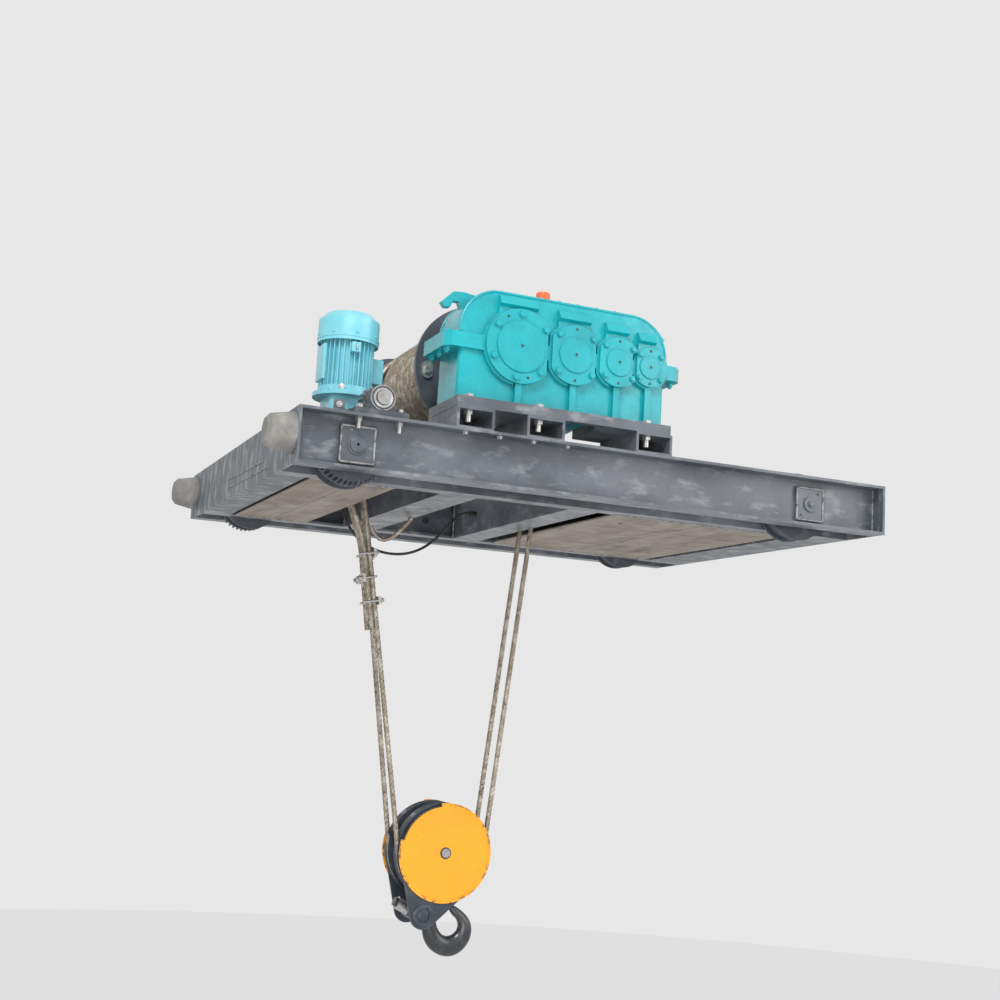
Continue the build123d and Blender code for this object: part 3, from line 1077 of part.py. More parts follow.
COVER_STEP, COVER_STEP_FROM, COVER_STEP_SWEEP = 14.0, 98.0, 67.0  # the notch at the upper left
with BuildPart() as block_covers:
    for y0, y1 in ((-COVER_OUTER, -COVER_INNER), (COVER_INNER, COVER_OUTER)):
        with BuildSketch(across(BLOCK_Y + y0)):
            with Locations(flat(BLOCK)):
                Circle(COVER_RADIUS)
                Circle(AXLE_STUB + RUNNING_GAP, mode=Mode.SUBTRACT)
            with BuildLine():
                inner = CenterArc(flat(BLOCK), COVER_RADIUS - COVER_STEP, COVER_STEP_FROM, COVER_STEP_SWEEP)
                outer = CenterArc(flat(BLOCK), COVER_RADIUS + COVER_STEP, COVER_STEP_FROM, COVER_STEP_SWEEP)
                Line(inner @ 0, outer @ 0)
                Line(inner @ 1, outer @ 1)
            make_face(mode=Mode.SUBTRACT)
        extrude(amount=y0 - y1)
write(block_covers.part, "block_covers")

TILT = radians(HOOK_TILT)
HOOK_PLANE = Plane(origin=(PIN_X, BLOCK_Y, PIN_Z), x_dir=(cos(TILT), 0, sin(TILT)), z_dir=(0, -1, 0))
SHANK_DIRECTION = (-sin(TILT), 0, cos(TILT))


def along_shank(height):
    """The plane square to the hook's shank at a height above the crosshead pin."""
    centre = Vector(PIN_X, BLOCK_Y, PIN_Z) + Vector(*SHANK_DIRECTION) * height
    return Plane(origin=centre, x_dir=(0, 1, 0), z_dir=SHANK_DIRECTION)


CROSSHEAD_HALF = 34.0
with BuildPart() as crosshead:
    with BuildSketch(HOOK_PLANE.offset(44)):
        RectangleRounded(2 * CROSSHEAD_HALF, 2 * CROSSHEAD_HALF, 12)
    extrude(amount=-88)
    rod(PIN_X, PIN_Z, BLOCK_Y - COVER_INNER, BLOCK_Y + COVER_INNER, PIN_RADIUS)
    with BuildSketch(along_shank(-CROSSHEAD_HALF - 1)):
        Circle(SHANK_RADIUS + RUNNING_GAP)
    extrude(amount=2 * CROSSHEAD_HALF + 2, mode=Mode.SUBTRACT)
write(crosshead.part, "crosshead")

BEARING_BOTTOM, BEARING_TOP, NUT_TOP = CROSSHEAD_HALF + 0.4, CROSSHEAD_HALF + 14.0, 92.0
with BuildPart() as hook_nut:
    for low, high, radius in ((BEARING_BOTTOM, BEARING_TOP, 29.0), (BEARING_TOP, NUT_TOP, 27.0)):
        with BuildSketch(along_shank(low)):
            Circle(radius)
            Circle(SHANK_RADIUS, mode=Mode.SUBTRACT)
        extrude(amount=high - low)
write(hook_nut.part, "hook_nut")

OUTER_CURVE = (
    (-24.0, -46.0),
    (-58.0, -72.0),
    (-98.0, -122.0),
    (-104.0, -200.0),
    (-62.0, -262.0),
    (8.0, -281.0),
    (68.0, -254.0),
    (94.0, -196.0),
    (101.0, -140.0),
)
TIP_CURVE = ((101.0, -140.0), (93.0, -124.0), (79.0, -130.0))
INNER_CURVE = (
    (79.0, -130.0),
    (60.0, -158.0),
    (50.0, -194.0),
    (18.0, -208.0),
    (-18.0, -190.0),
    (-27.0, -158.0),
    (-8.0, -116.0),
    (20.0, -80.0),
    (24.0, -46.0),
)
with BuildPart() as hook:
    with BuildSketch(HOOK_PLANE.offset(HOOK_HALF_THICKNESS)):
        with BuildLine():
            Spline(*OUTER_CURVE)
            Spline(*TIP_CURVE)
            Spline(*INNER_CURVE)
            Line(INNER_CURVE[-1], OUTER_CURVE[0])
        make_face()
    extrude(amount=-2 * HOOK_HALF_THICKNESS)
    with BuildSketch(along_shank(-60)):
        Circle(SHANK_RADIUS)
    extrude(amount=60 + 105)
write(hook.part, "hook")
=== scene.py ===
"""Looks of the rope hoist trolley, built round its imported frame.  Metres; X along the rails, Z up."""

import json
import math
import random

import bmesh
import bpy
import numpy as np
from mathutils import Matrix, Vector


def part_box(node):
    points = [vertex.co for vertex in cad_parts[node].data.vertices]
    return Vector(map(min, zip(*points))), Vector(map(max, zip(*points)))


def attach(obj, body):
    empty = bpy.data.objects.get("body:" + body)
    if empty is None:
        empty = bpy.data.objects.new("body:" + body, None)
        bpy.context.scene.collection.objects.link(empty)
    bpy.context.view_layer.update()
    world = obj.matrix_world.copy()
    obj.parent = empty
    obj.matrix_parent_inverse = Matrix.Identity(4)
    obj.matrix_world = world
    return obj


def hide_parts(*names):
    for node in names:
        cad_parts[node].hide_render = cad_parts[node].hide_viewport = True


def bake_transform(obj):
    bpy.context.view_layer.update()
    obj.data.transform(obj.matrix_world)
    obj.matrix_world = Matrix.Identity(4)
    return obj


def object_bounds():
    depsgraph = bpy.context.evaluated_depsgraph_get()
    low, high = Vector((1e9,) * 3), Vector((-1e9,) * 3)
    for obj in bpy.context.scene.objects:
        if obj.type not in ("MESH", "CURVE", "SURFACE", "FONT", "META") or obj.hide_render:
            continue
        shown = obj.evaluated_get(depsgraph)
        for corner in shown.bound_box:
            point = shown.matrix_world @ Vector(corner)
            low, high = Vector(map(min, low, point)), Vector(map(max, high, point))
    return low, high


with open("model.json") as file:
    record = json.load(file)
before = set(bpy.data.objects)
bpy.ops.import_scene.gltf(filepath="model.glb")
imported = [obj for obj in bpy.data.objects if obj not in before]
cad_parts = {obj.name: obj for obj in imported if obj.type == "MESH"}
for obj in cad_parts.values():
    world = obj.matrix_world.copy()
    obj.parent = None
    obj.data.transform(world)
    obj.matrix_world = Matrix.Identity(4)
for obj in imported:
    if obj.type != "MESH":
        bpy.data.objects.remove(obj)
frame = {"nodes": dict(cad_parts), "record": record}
cad_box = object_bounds()
RECORD = frame["record"]

# ---------------------------------------------------------------- places, from the frame


def middle(node):
    """The middle of a CAD node's box."""
    low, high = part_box(node)
    return (Vector(low) + Vector(high)) / 2


ROPE_RADIUS = 0.011
ROPE_PITCH = 0.0228  # spacing of the turns on the drum
DRUM = Vector((middle("drum_shell").x, middle("drum_shell").z))
WOUND_RADIUS = 0.2055  # centreline of the rope on the drum
GUIDE = Vector((middle("guide_sheave_front").x, middle("guide_sheave_front").z))
GUIDE_RADIUS = 0.120
BLOCK = Vector((middle("block_covers").x, middle("block_covers").z))
BLOCK_RADIUS = 0.190
BLOCK_Y = middle("block_covers").y
PIN = Vector((middle("crosshead").x, middle("crosshead").z))
ROPE_YS = (middle("rope_front").y, middle("rope_rear").y)
ANCHOR_Z = 0.120
THIMBLES = (Vector((-0.638, ANCHOR_Z)), Vector((-0.608, ANCHOR_Z)))
THIMBLE_RADIUS = 0.034
TAIL_SPACING = 0.023
TAIL_JOIN_Z, TAIL_END_Z = -0.070, -0.450
CLIP_HEIGHTS = (-0.135, -0.235, -0.335)
SHAFT_Z = DRUM.y
SHAFT_XS = [middle(name).x for name in ("output_shaft", "second_shaft", "third_shaft", "input_shaft")]
SHAFT_XS[-1] = middle("hoist_motor_cowl").x
FRAME_LOW, FRAME_HIGH = (Vector(corner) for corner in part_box("outer_girders"))
MOTOR = middle("travel_motor_cowl")

# ---------------------------------------------------------------- materials


class Surface:
    """A Principled material whose colour, roughness and bump come from noise over the object's own space."""

    def __init__(self, name, base, rough, metallic=0.0, coat=0.0):
        self.material = bpy.data.materials.new(name)
        self.material.use_nodes = True
        self.nodes, self.links = self.material.node_tree.nodes, self.material.node_tree.links
        self.shader = self.nodes["Principled BSDF"]
        self.shader.inputs["Base Color"].default_value = (*base, 1)
        self.shader.inputs["Roughness"].default_value = rough
        self.shader.inputs["Metallic"].default_value = metallic
        self.shader.inputs["Coat Weight"].default_value = coat
        self.place = self.nodes.new("ShaderNodeTexCoord").outputs["Object"]
        self.base = base
        self.colour = None
        self.height = None

    def node(self, kind, **inputs):
        made = self.nodes.new(kind)
        for key, value in inputs.items():
            made.inputs[key.replace("_", " ")].default_value = value
        return made

    def noise(self, scale, stretch=(1, 1, 1), detail=5.0, rough=0.6):
        mapping = self.node("ShaderNodeMapping", Scale=stretch)
        self.links.new(self.place, mapping.inputs["Vector"])
        texture = self.node("ShaderNodeTexNoise", Scale=scale, Detail=detail, Roughness=rough)
        self.links.new(mapping.outputs["Vector"], texture.inputs["Vector"])
        return texture.outputs["Fac"]

    def between(self, value, low, high, to_low=0.0, to_high=1.0):
        span = self.node("ShaderNodeMapRange")
        for socket, number in zip(("From Min", "From Max", "To Min", "To Max"), (low, high, to_low, to_high)):
            span.inputs[socket].default_value = number
        self.links.new(value, span.inputs["Value"])
        return span.outputs["Result"]

    def times(self, first, second):
        product = self.node("ShaderNodeMath")
        product.operation = "MULTIPLY"
        self.links.new(first, product.inputs[0])
        self.links.new(second, product.inputs[1])
        return product.outputs["Value"]

    def tint(self, colour, mask):
        """Lays a colour over the surface where the mask is high."""
        mix = self.nodes.new("ShaderNodeMix")
        mix.data_type = "RGBA"
        if self.colour is None:
            mix.inputs[6].default_value = (*self.base, 1)
        else:
            self.links.new(self.colour, mix.inputs[6])
        mix.inputs[7].default_value = (*colour, 1)
        self.links.new(mask, mix.inputs["Factor"])
        self.colour = mix.outputs[2]
        self.links.new(self.colour, self.shader.inputs["Base Color"])
        return self

    def patches(self, colour, scale, low, high, amount=1.0, stretch=(1, 1, 1)):
        return self.tint(colour, self.between(self.noise(scale, stretch), low, high, 0.0, amount))

    def roughness(self, scale, low, high, stretch=(1, 1, 1)):
        value = self.between(self.noise(scale, stretch), 0.3, 0.7, low, high)
        self.links.new(value, self.shader.inputs["Roughness"])
        return self

    def bump(self, scale, depth, stretch=(1, 1, 1), detail=4.0):
        bump = self.node("ShaderNodeBump", Strength=0.6, Distance=depth)
        self.links.new(self.noise(scale, stretch, detail), bump.inputs["Height"])
        if self.height is not None:
            self.links.new(self.height, bump.inputs["Normal"])
        self.height = bump.outputs["Normal"]
        self.links.new(self.height, self.shader.inputs["Normal"])
        return self

    def near_radius(self, centre, low, high):
        """A mask that grows with the distance from an axis along Y."""
        flatten = self.node("ShaderNodeVectorMath")
        flatten.operation = "MULTIPLY"
        flatten.inputs[1].default_value = (1, 0, 1)
        self.links.new(self.place, flatten.inputs[0])
        distance = self.node("ShaderNodeVectorMath")
        distance.operation = "DISTANCE"
        distance.inputs[1].default_value = (centre.x, 0, centre.y)
        self.links.new(flatten.outputs["Vector"], distance.inputs[0])
        return self.between(distance.outputs["Value"], low, high)


def frame_paint(name="frame paint", base=(0.066, 0.076, 0.090)):
    made = Surface(name, base, 0.42, coat=0.1)
    made.patches((0.135, 0.147, 0.165), 3.5, 0.42, 0.62, 0.8)
    made.patches((0.250, 0.262, 0.280), 9.0, 0.54, 0.70, 0.7, (1, 1, 2.5))
    made.patches((0.10, 0.070, 0.052), 22.0, 0.60, 0.74, 0.55)
    made.patches((0.33, 0.34, 0.35), 60.0, 0.68, 0.76, 0.7, (0.4, 1, 1))
    made.roughness(14.0, 0.30, 0.58)
    return made.bump(260.0, 0.0006).bump(7.0, 0.002).material


def silver_patched_paint():
    made = Surface("worn end plate", (0.10, 0.115, 0.13), 0.45, metallic=0.25)
    made.patches((0.33, 0.34, 0.35), 16.0, 0.48, 0.66, 0.65, (1, 1.6, 0.6))
    made.patches((0.13, 0.085, 0.055), 16.0, 0.60, 0.72, 0.6)
    made.roughness(12.0, 0.35, 0.62)
    return made.bump(240.0, 0.0006).material


def soffit_steel():
    made = Surface("mill scale plate", (0.190, 0.152, 0.116), 0.55, metallic=0.2)
    made.patches((0.270, 0.238, 0.200), 2.2, 0.40, 0.66, 0.9, (2.5, 0.5, 1))
    made.patches((0.085, 0.068, 0.055), 5.0, 0.52, 0.70, 0.8, (3.0, 0.8, 1))
    made.patches((0.34, 0.33, 0.31), 18.0, 0.62, 0.74, 0.5, (3.0, 0.6, 1))
    made.roughness(10.0, 0.40, 0.68)
    return made.bump(180.0, 0.0005).material


def dark_cast():
    made = Surface("dark cast iron", (0.055, 0.062, 0.075), 0.5, metallic=0.3)
    made.patches((0.17, 0.17, 0.175), 14.0, 0.52, 0.70, 0.7)
    made.patches((0.11, 0.075, 0.05), 30.0, 0.60, 0.74, 0.5)
    made.roughness(25.0, 0.38, 0.62)
    return made.bump(420.0, 0.0008).material


def machined_steel():
    made = Surface("machined steel", (0.42, 0.42, 0.42), 0.32, metallic=0.9)
    made.patches((0.24, 0.21, 0.18), 20.0, 0.52, 0.70, 0.6)
    made.roughness(60.0, 0.22, 0.45, (1, 8, 1))
    return made.bump(500.0, 0.0003, (1, 10, 1)).material


def gearbox_turquoise():
    made = Surface("turquoise gloss enamel", (0.001, 0.305, 0.345), 0.26, coat=0.25)
    made.patches((0.002, 0.385, 0.430), 4.0, 0.44, 0.66, 0.7)
    made.patches((0.001, 0.225, 0.255), 9.0, 0.52, 0.72, 0.7)
    made.patches((0.035, 0.190, 0.205), 38.0, 0.68, 0.78, 0.45)
    made.roughness(18.0, 0.15, 0.36)
    return made.bump(150.0, 0.0012).bump(22.0, 0.0020).material


def motor_blue():
    made = Surface("light blue enamel", (0.145, 0.475, 0.560), 0.33, coat=0.3)
    made.patches((0.220, 0.560, 0.640), 10.0, 0.45, 0.65, 0.7)
    made.patches((0.095, 0.290, 0.350), 34.0, 0.62, 0.76, 0.5)
    made.roughness(20.0, 0.24, 0.45)
    return made.bump(220.0, 0.0008).material


def drum_grey():
    made = Surface("drum paint", (0.050, 0.058, 0.074), 0.4, coat=0.1)
    made.patches((0.125, 0.130, 0.145), 6.0, 0.48, 0.66, 0.7)
    made.patches((0.30, 0.30, 0.30), 45.0, 0.68, 0.75, 0.7, (0.5, 1, 3))
    return made.bump(240.0, 0.0005).material


def rope_steel():
    made = Surface("greased wire", (0.300, 0.250, 0.190), 0.45, metallic=0.55)
    made.patches((0.52, 0.480, 0.410), 26.0, 0.46, 0.60, 0.8)
    made.patches((0.075, 0.055, 0.040), 55.0, 0.54, 0.68, 0.8)
    made.roughness(90.0, 0.32, 0.6)
    return made.bump(900.0, 0.0006, (1, 1, 0.4)).material


def zinc():
    made = Surface("zinc plate", (0.50, 0.50, 0.49), 0.35, metallic=0.85)
    made.patches((0.28, 0.26, 0.22), 70.0, 0.54, 0.70, 0.7)
    made.roughness(120.0, 0.25, 0.5)
    return made.bump(500.0, 0.0003).material


def block_yellow():
    made = Surface("orange yellow paint", (0.820, 0.330, 0.002), 0.38, coat=0.2)
    made.patches((0.860, 0.375, 0.003), 6.0, 0.45, 0.65, 0.7)
    edge = made.near_radius(BLOCK, 0.188, 0.204)
    chips = made.between(made.noise(42.0, detail=6.0), 0.52, 0.56)
    made.tint((0.16, 0.075, 0.025), made.times(edge, chips))
    made.patches((0.22, 0.105, 0.030), 95.0, 0.735, 0.75, 0.9)
    made.patches((0.70, 0.24, 0.010), 16.0, 0.62, 0.74, 0.5)
    made.roughness(20.0, 0.28, 0.5)
    return made.bump(160.0, 0.0007).bump(12.0, 0.0015).material


def block_dark():
    made = Surface("dark blue paint", (0.022, 0.030, 0.042), 0.4, coat=0.15)
    made.patches((0.060, 0.072, 0.088), 9.0, 0.46, 0.64, 0.8)
    made.patches((0.15, 0.145, 0.14), 48.0, 0.66, 0.76, 0.6)
    made.roughness(20.0, 0.28, 0.52)
    return made.bump(200.0, 0.0008).material


def hook_black():
    made = Surface("black hook enamel", (0.016, 0.019, 0.024), 0.26, coat=0.4)
    made.patches((0.055, 0.060, 0.068), 16.0, 0.50, 0.68, 0.7)
    made.roughness(24.0, 0.18, 0.42)
    return made.bump(110.0, 0.0012).material


def bumper_grey():
    made = Surface("worn rubber", (0.185, 0.178, 0.170), 0.7)
    made.patches((0.30, 0.285, 0.265), 12.0, 0.48, 0.66, 0.8)
    made.patches((0.09, 0.085, 0.082), 26.0, 0.58, 0.72, 0.6)
    made.roughness(20.0, 0.58, 0.85)
    return made.bump(140.0, 0.0010).material


def breather_orange():
    made = Surface("orange plastic", (0.80, 0.13, 0.020), 0.35, coat=0.2)
    made.patches((0.55, 0.09, 0.02), 40.0, 0.54, 0.68, 0.5)
    return made.bump(300.0, 0.0003).material


def cable_black():
    made = Surface("black cable sheath", (0.014, 0.014, 0.016), 0.5)
    made.patches((0.06, 0.058, 0.055), 60.0, 0.55, 0.70, 0.6)
    return made.bump(600.0, 0.0003).material


def weld_metal():
    made = Surface("weld metal", (0.30, 0.30, 0.30), 0.42, metallic=0.6)
    made.patches((0.085, 0.078, 0.074), 40.0, 0.48, 0.62, 0.8)
    made.roughness(80.0, 0.3, 0.6)
    return made.bump(380.0, 0.0010).material


MATERIALS = {
    "frame_paint": frame_paint(),
    "bare_steel": soffit_steel(),
    "dark_cast": dark_cast(),
    "machined_steel": machined_steel(),
    "gearbox_turquoise": gearbox_turquoise(),
    "motor_blue": motor_blue(),
    "drum_grey": drum_grey(),
    "rope_steel": rope_steel(),
    "zinc": zinc(),
    "block_yellow": block_yellow(),
    "block_dark": block_dark(),
    "hook_black": hook_black(),
    "bumper_grey": bumper_grey(),
    "breather_orange": breather_orange(),
    "cable_black": cable_black(),
}
WELD_METAL = weld_metal()
REPAINTED = {"end_beams": silver_patched_paint(), "wheel_axles": MATERIALS["frame_paint"]}

for entry in RECORD["subparts"]:
    cad_object = frame["nodes"][entry["node"]]
    for material_slot in cad_object.material_slots:
        material_slot.material = REPAINTED.get(entry["node"], MATERIALS[entry["material_slot"]])

# ---------------------------------------------------------------- mesh helpers


def across(direction):
    """Two unit vectors square to a direction and to each other."""
    direction = Vector(direction).normalized()
    guide = Vector((0, 0, 1)) if abs(direction.z) < 0.9 else Vector((1, 0, 0))
    side = guide.cross(direction).normalized()
    return side, direction.cross(side)


def turned(bm, profile, origin, direction, segments=32, turn=0.0):
    """Turns a profile of (radius, height) points about an axis; six segments make a hexagon."""
    direction = Vector(direction).normalized()
    side, up = across(direction)
    rings = []
    for radius, height in profile:
        centre = Vector(origin) + direction * height
        if radius == 0:
            rings.append([bm.verts.new(centre)])
            continue
        ring = []
        for step in range(segments):
            angle = turn + 2 * math.pi * step / segments
            ring.append(bm.verts.new(centre + radius * (math.cos(angle) * side + math.sin(angle) * up)))
        rings.append(ring)
    for first, second in zip(rings, rings[1:]):
        for step in range(segments):
            after = (step + 1) % segments
            if len(first) == 1:
                bm.faces.new((first[0], second[after], second[step]))
            elif len(second) == 1:
                bm.faces.new((first[step], first[after], second[0]))
            else:
                bm.faces.new((first[step], first[after], second[after], second[step]))


def disc(radius, height):
    """The profile of a plain disc, to turn about an axis."""
    return [(0, 0), (radius, 0), (radius, height), (0, height)]


def bolt_head(bm, origin, direction, radius, height, washer=0.0):
    """A chamfered hexagon head, with a washer under it when one is asked for."""
    direction = Vector(direction).normalized()
    if washer:
        edge = radius * 1.28
        turned(bm, disc(edge, washer), origin, direction, 24)
    start = Vector(origin) + direction * washer
    cut = radius * 0.86
    profile = [(0, 0), (radius, 0), (radius, height * 0.82), (cut, height), (0, height)]
    turned(bm, profile, start, direction, 6, random.random())


def slab(bm, low, high, bevel=0.0):
    """A box between two corners, with its edges broken."""
    low, high = Vector(low), Vector(high)
    made = bmesh.ops.create_cube(bm, size=1.0)["verts"]
    size = high - low
    bmesh.ops.scale(bm, vec=size, verts=made)
    bmesh.ops.translate(bm, vec=(low + high) / 2, verts=made)
    if bevel:
        edges = list({edge for vert in made for edge in vert.link_edges})
        bmesh.ops.bevel(bm, geom=edges, offset=bevel, segments=2, affect="EDGES", profile=0.6)


def finish_piece(name, mesh, material, body, smooth=True, angle=38):
    made = bpy.data.objects.new(name, mesh)
    bpy.context.collection.objects.link(made)
    mesh.materials.append(material)
    if smooth:
        mesh.polygons.foreach_set("use_smooth", [True] * len(mesh.polygons))
        mesh.set_sharp_from_angle(angle=math.radians(angle))
    if body is not None:
        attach(made, body)
    return made


def piece(name, bm, body, slot, material=None, smooth=True):
    """Turns a bmesh into a piece that rides on a body."""
    bmesh.ops.recalc_face_normals(bm, faces=bm.faces)
    mesh = bpy.data.meshes.new(name)
    bm.to_mesh(mesh)
    bm.free()
    return finish_piece(name, mesh, material or MATERIALS[slot], body, smooth)


def spaced(points, step):
    """Points at an even spacing along a line of points."""
    points = np.array(points, float)
    lengths = np.linalg.norm(np.diff(points, axis=0), axis=1)
    along = np.concatenate([[0.0], np.cumsum(lengths)])
    count = max(2, int(round(along[-1] / step)) + 1)
    wanted = np.linspace(0.0, along[-1], count)
    return np.stack([np.interp(wanted, along, points[:, axis]) for axis in range(3)], axis=1), wanted


def swept(name, points, ring):
    """A closed tube whose cross-section is ring(distance along, angles round), as radii."""
    points, along = spaced(points, ring.step)
    tangents = np.gradient(points, axis=0)
    tangents /= np.linalg.norm(tangents, axis=1)[:, None]
    side = np.array(across(tangents[0])[0])
    angles = np.linspace(0, 2 * math.pi, ring.sides, endpoint=False)
    rings = []
    for point, tangent, distance in zip(points, tangents, along):
        side = side - tangent * side.dot(tangent)
        side /= np.linalg.norm(side)
        up = np.cross(tangent, side)
        radii = ring.radii(distance, angles)
        rings.append(point + np.outer(radii * np.cos(angles), side) + np.outer(radii * np.sin(angles), up))
    verts = np.concatenate(rings)
    sides = ring.sides
    here = np.arange((len(points) - 1) * sides)
    after = here - here % sides + (here % sides + 1) % sides
    quads = np.stack([here, after, after + sides, here + sides], axis=1).tolist()
    last = (len(points) - 1) * sides
    caps = [list(range(sides))[::-1], [last + step for step in range(sides)]]
    mesh = bpy.data.meshes.new(name)
    mesh.from_pydata(verts.tolist(), [], quads + caps)
    return mesh


class Strands:
    """Cross-section of a wire rope: six round strands that turn along its length."""

    COUNT = 6
    LAY = 0.125

    def __init__(self, radius, step, sides=36):
        self.radius, self.step, self.sides = radius, step, sides

    def radii(self, distance, angles):
        sector = 2 * math.pi / self.COUNT
        within = (angles - 2 * math.pi * distance / self.LAY) % sector - sector / 2
        strand = self.radius / 3
        centre = 2 * strand
        return centre * np.cos(within) + np.sqrt(np.maximum(strand**2 - (centre * np.sin(within)) ** 2, 0))


class Round:
    """A plain round cross-section, rippled along its length where a ripple is asked for."""

    def __init__(self, radius, step, sides=10, ripple=0.0, pitch=0.006):
        self.radius, self.step, self.sides, self.ripple, self.pitch = radius, step, sides, ripple, pitch

    def radii(self, distance, angles):
        wave = 1 + self.ripple * math.sin(2 * math.pi * distance / self.pitch)
        return np.full(len(angles), self.radius * wave)


def route_line(name, points):
    """Points of the smooth line that a route's points control."""
    curve = route_curve(name, points)
    holder = bpy.data.objects.new(name, curve)
    mesh = bpy.data.meshes.new_from_object(holder)
    line = [tuple(vert.co) for vert in mesh.vertices]
    bpy.data.objects.remove(holder)
    bpy.data.meshes.remove(mesh)
    bpy.data.curves.remove(curve)
    return line


def route_curve(name, points):
    curve = bpy.data.curves.new(name, "CURVE")
    curve.dimensions = "3D"
    curve.resolution_u = 12
    spline = curve.splines.new("NURBS")
    spline.points.add(len(points) - 1)
    for control, point in zip(spline.points, points):
        control.co = (*point, 1)
    spline.order_u = 3
    spline.use_endpoint_u = True
    return curve


# ---------------------------------------------------------------- ropes


def tangent(centre_a, radius_a, side_a, centre_b, radius_b, side_b):
    """The straight run from one wheel to the next; a side is -1 for a wheel at the right of the way."""
    between = centre_b - centre_a
    lean = math.asin((side_b * radius_b - side_a * radius_a) / between.length)
    angle = math.atan2(between.y, between.x) - lean
    left = Vector((-math.sin(angle), math.cos(angle)))
    return centre_a - left * side_a * radius_a, centre_b - left * side_b * radius_b


def round_wheel(centre, start, end, side):
    """Control points of a rope's way round a wheel: corners that stand off the arc, and one on each run."""
    arm = start - centre
    first = math.atan2(arm.y, arm.x)
    last = math.atan2((end - centre).y, (end - centre).x)
    turn = (last - first) % (2 * math.pi) if side > 0 else -((first - last) % (2 * math.pi))
    count = math.ceil(abs(turn) / math.radians(30))
    half = turn / (2 * count)
    reach = arm.length / math.cos(half)
    points = []
    for corner in range(-1, count + 1):
        angle = first + half * (2 * corner + 1)
        points.append(centre + reach * Vector((math.cos(angle), math.sin(angle))))
    run_in = Vector((-math.sin(first), math.cos(first))) * arm.length * math.tan(half)
    run_out = Vector((-math.sin(last), math.cos(last))) * arm.length * math.tan(half)
    points[0] = start - run_in
    points[-1] = end + run_out
    return points


def dead_side(thimble):
    """The rope's straight run from the block up to its thimble."""
    return tangent(BLOCK, BLOCK_RADIUS, -1, thimble, THIMBLE_RADIUS, 1)


def rope_route(thimble):
    """One rope's control points in X and Z, from the drum to its free end."""
    off_drum, on_guide = tangent(DRUM, WOUND_RADIUS, -1, GUIDE, GUIDE_RADIUS, -1)
    off_guide, on_block = tangent(GUIDE, GUIDE_RADIUS, -1, BLOCK, BLOCK_RADIUS, -1)
    off_block, on_thimble = dead_side(thimble)
    along = (on_thimble - off_block).normalized()
    left = Vector((-along.y, along.x))
    join = on_thimble + along * ((TAIL_JOIN_Z - on_thimble.y) / along.y) + left * TAIL_SPACING
    tail_end = on_thimble + along * ((TAIL_END_Z - on_thimble.y) / along.y) + left * TAIL_SPACING
    off_thimble, _ = tangent(thimble, THIMBLE_RADIUS, 1, join, 0.0, 1)
    return [
        off_drum,
        *round_wheel(GUIDE, on_guide, off_guide, -1),
        *round_wheel(BLOCK, on_block, off_block, -1),
        *round_wheel(thimble, on_thimble, off_thimble, 1),
        join,
        join - along * 0.13,
        tail_end,
    ]


def falls():
    for position, rope_y, thimble in zip(("front", "rear"), ROPE_YS, THIMBLES):
        route = [(point.x, rope_y, point.y) for point in rope_route(thimble)]
        line = route_line(f"{position} route", route)
        mesh = swept(f"wire_rope_{position}", line, Strands(ROPE_RADIUS, 0.006))
        rope = finish_piece(mesh.name, mesh, MATERIALS["rope_steel"], None, angle=80)
        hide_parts(f"rope_{position}")
        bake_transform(rope)


def windings():
    """The turns of rope on the drum, which end where the falls leave it."""
    off_drum, _ = tangent(DRUM, WOUND_RADIUS, -1, GUIDE, GUIDE_RADIUS, -1)
    leave = math.atan2((off_drum - DRUM).y, (off_drum - DRUM).x)
    low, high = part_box("rope_windings")
    for name, y_lead, y_end in (("front", ROPE_YS[0], low[1] + 0.012), ("rear", ROPE_YS[1], high[1] - 0.012)):
        hand = -1 if y_end < y_lead else 1
        turns = abs(y_end - y_lead) / ROPE_PITCH
        points = []
        for step in range(int(turns * 60) + 1):
            angle = leave + 2 * math.pi * step / 60
            y = y_lead + hand * ROPE_PITCH * step / 60
            x = DRUM.x + WOUND_RADIUS * math.cos(angle)
            points.append((x, y, DRUM.y + WOUND_RADIUS * math.sin(angle)))
        mesh = swept(f"drum_winding_{name}", points, Strands(ROPE_RADIUS, 0.014, 24))
        wound = finish_piece(mesh.name, mesh, MATERIALS["rope_steel"], "drum", angle=80)
        if name == "front":
            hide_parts("rope_windings")


def thimbles():
    """The grooved steel loops that the dead ends go round."""
    bm = bmesh.new()
    for rope_y, centre in zip(ROPE_YS, THIMBLES):
        bed, lip = THIMBLE_RADIUS - ROPE_RADIUS, THIMBLE_RADIUS + 0.002
        profile = [(bed - 0.005, -0.010), (lip, -0.013), (lip, -0.0115), (bed, -0.006)]
        profile += [(bed, 0.006), (lip, 0.0115), (lip, 0.013), (bed - 0.005, 0.010), (bed - 0.005, -0.010)]
        turned(bm, profile, (centre.x, rope_y, centre.y), (0, 1, 0), 40)
    piece("rope_thimbles", bm, "frame", "zinc")


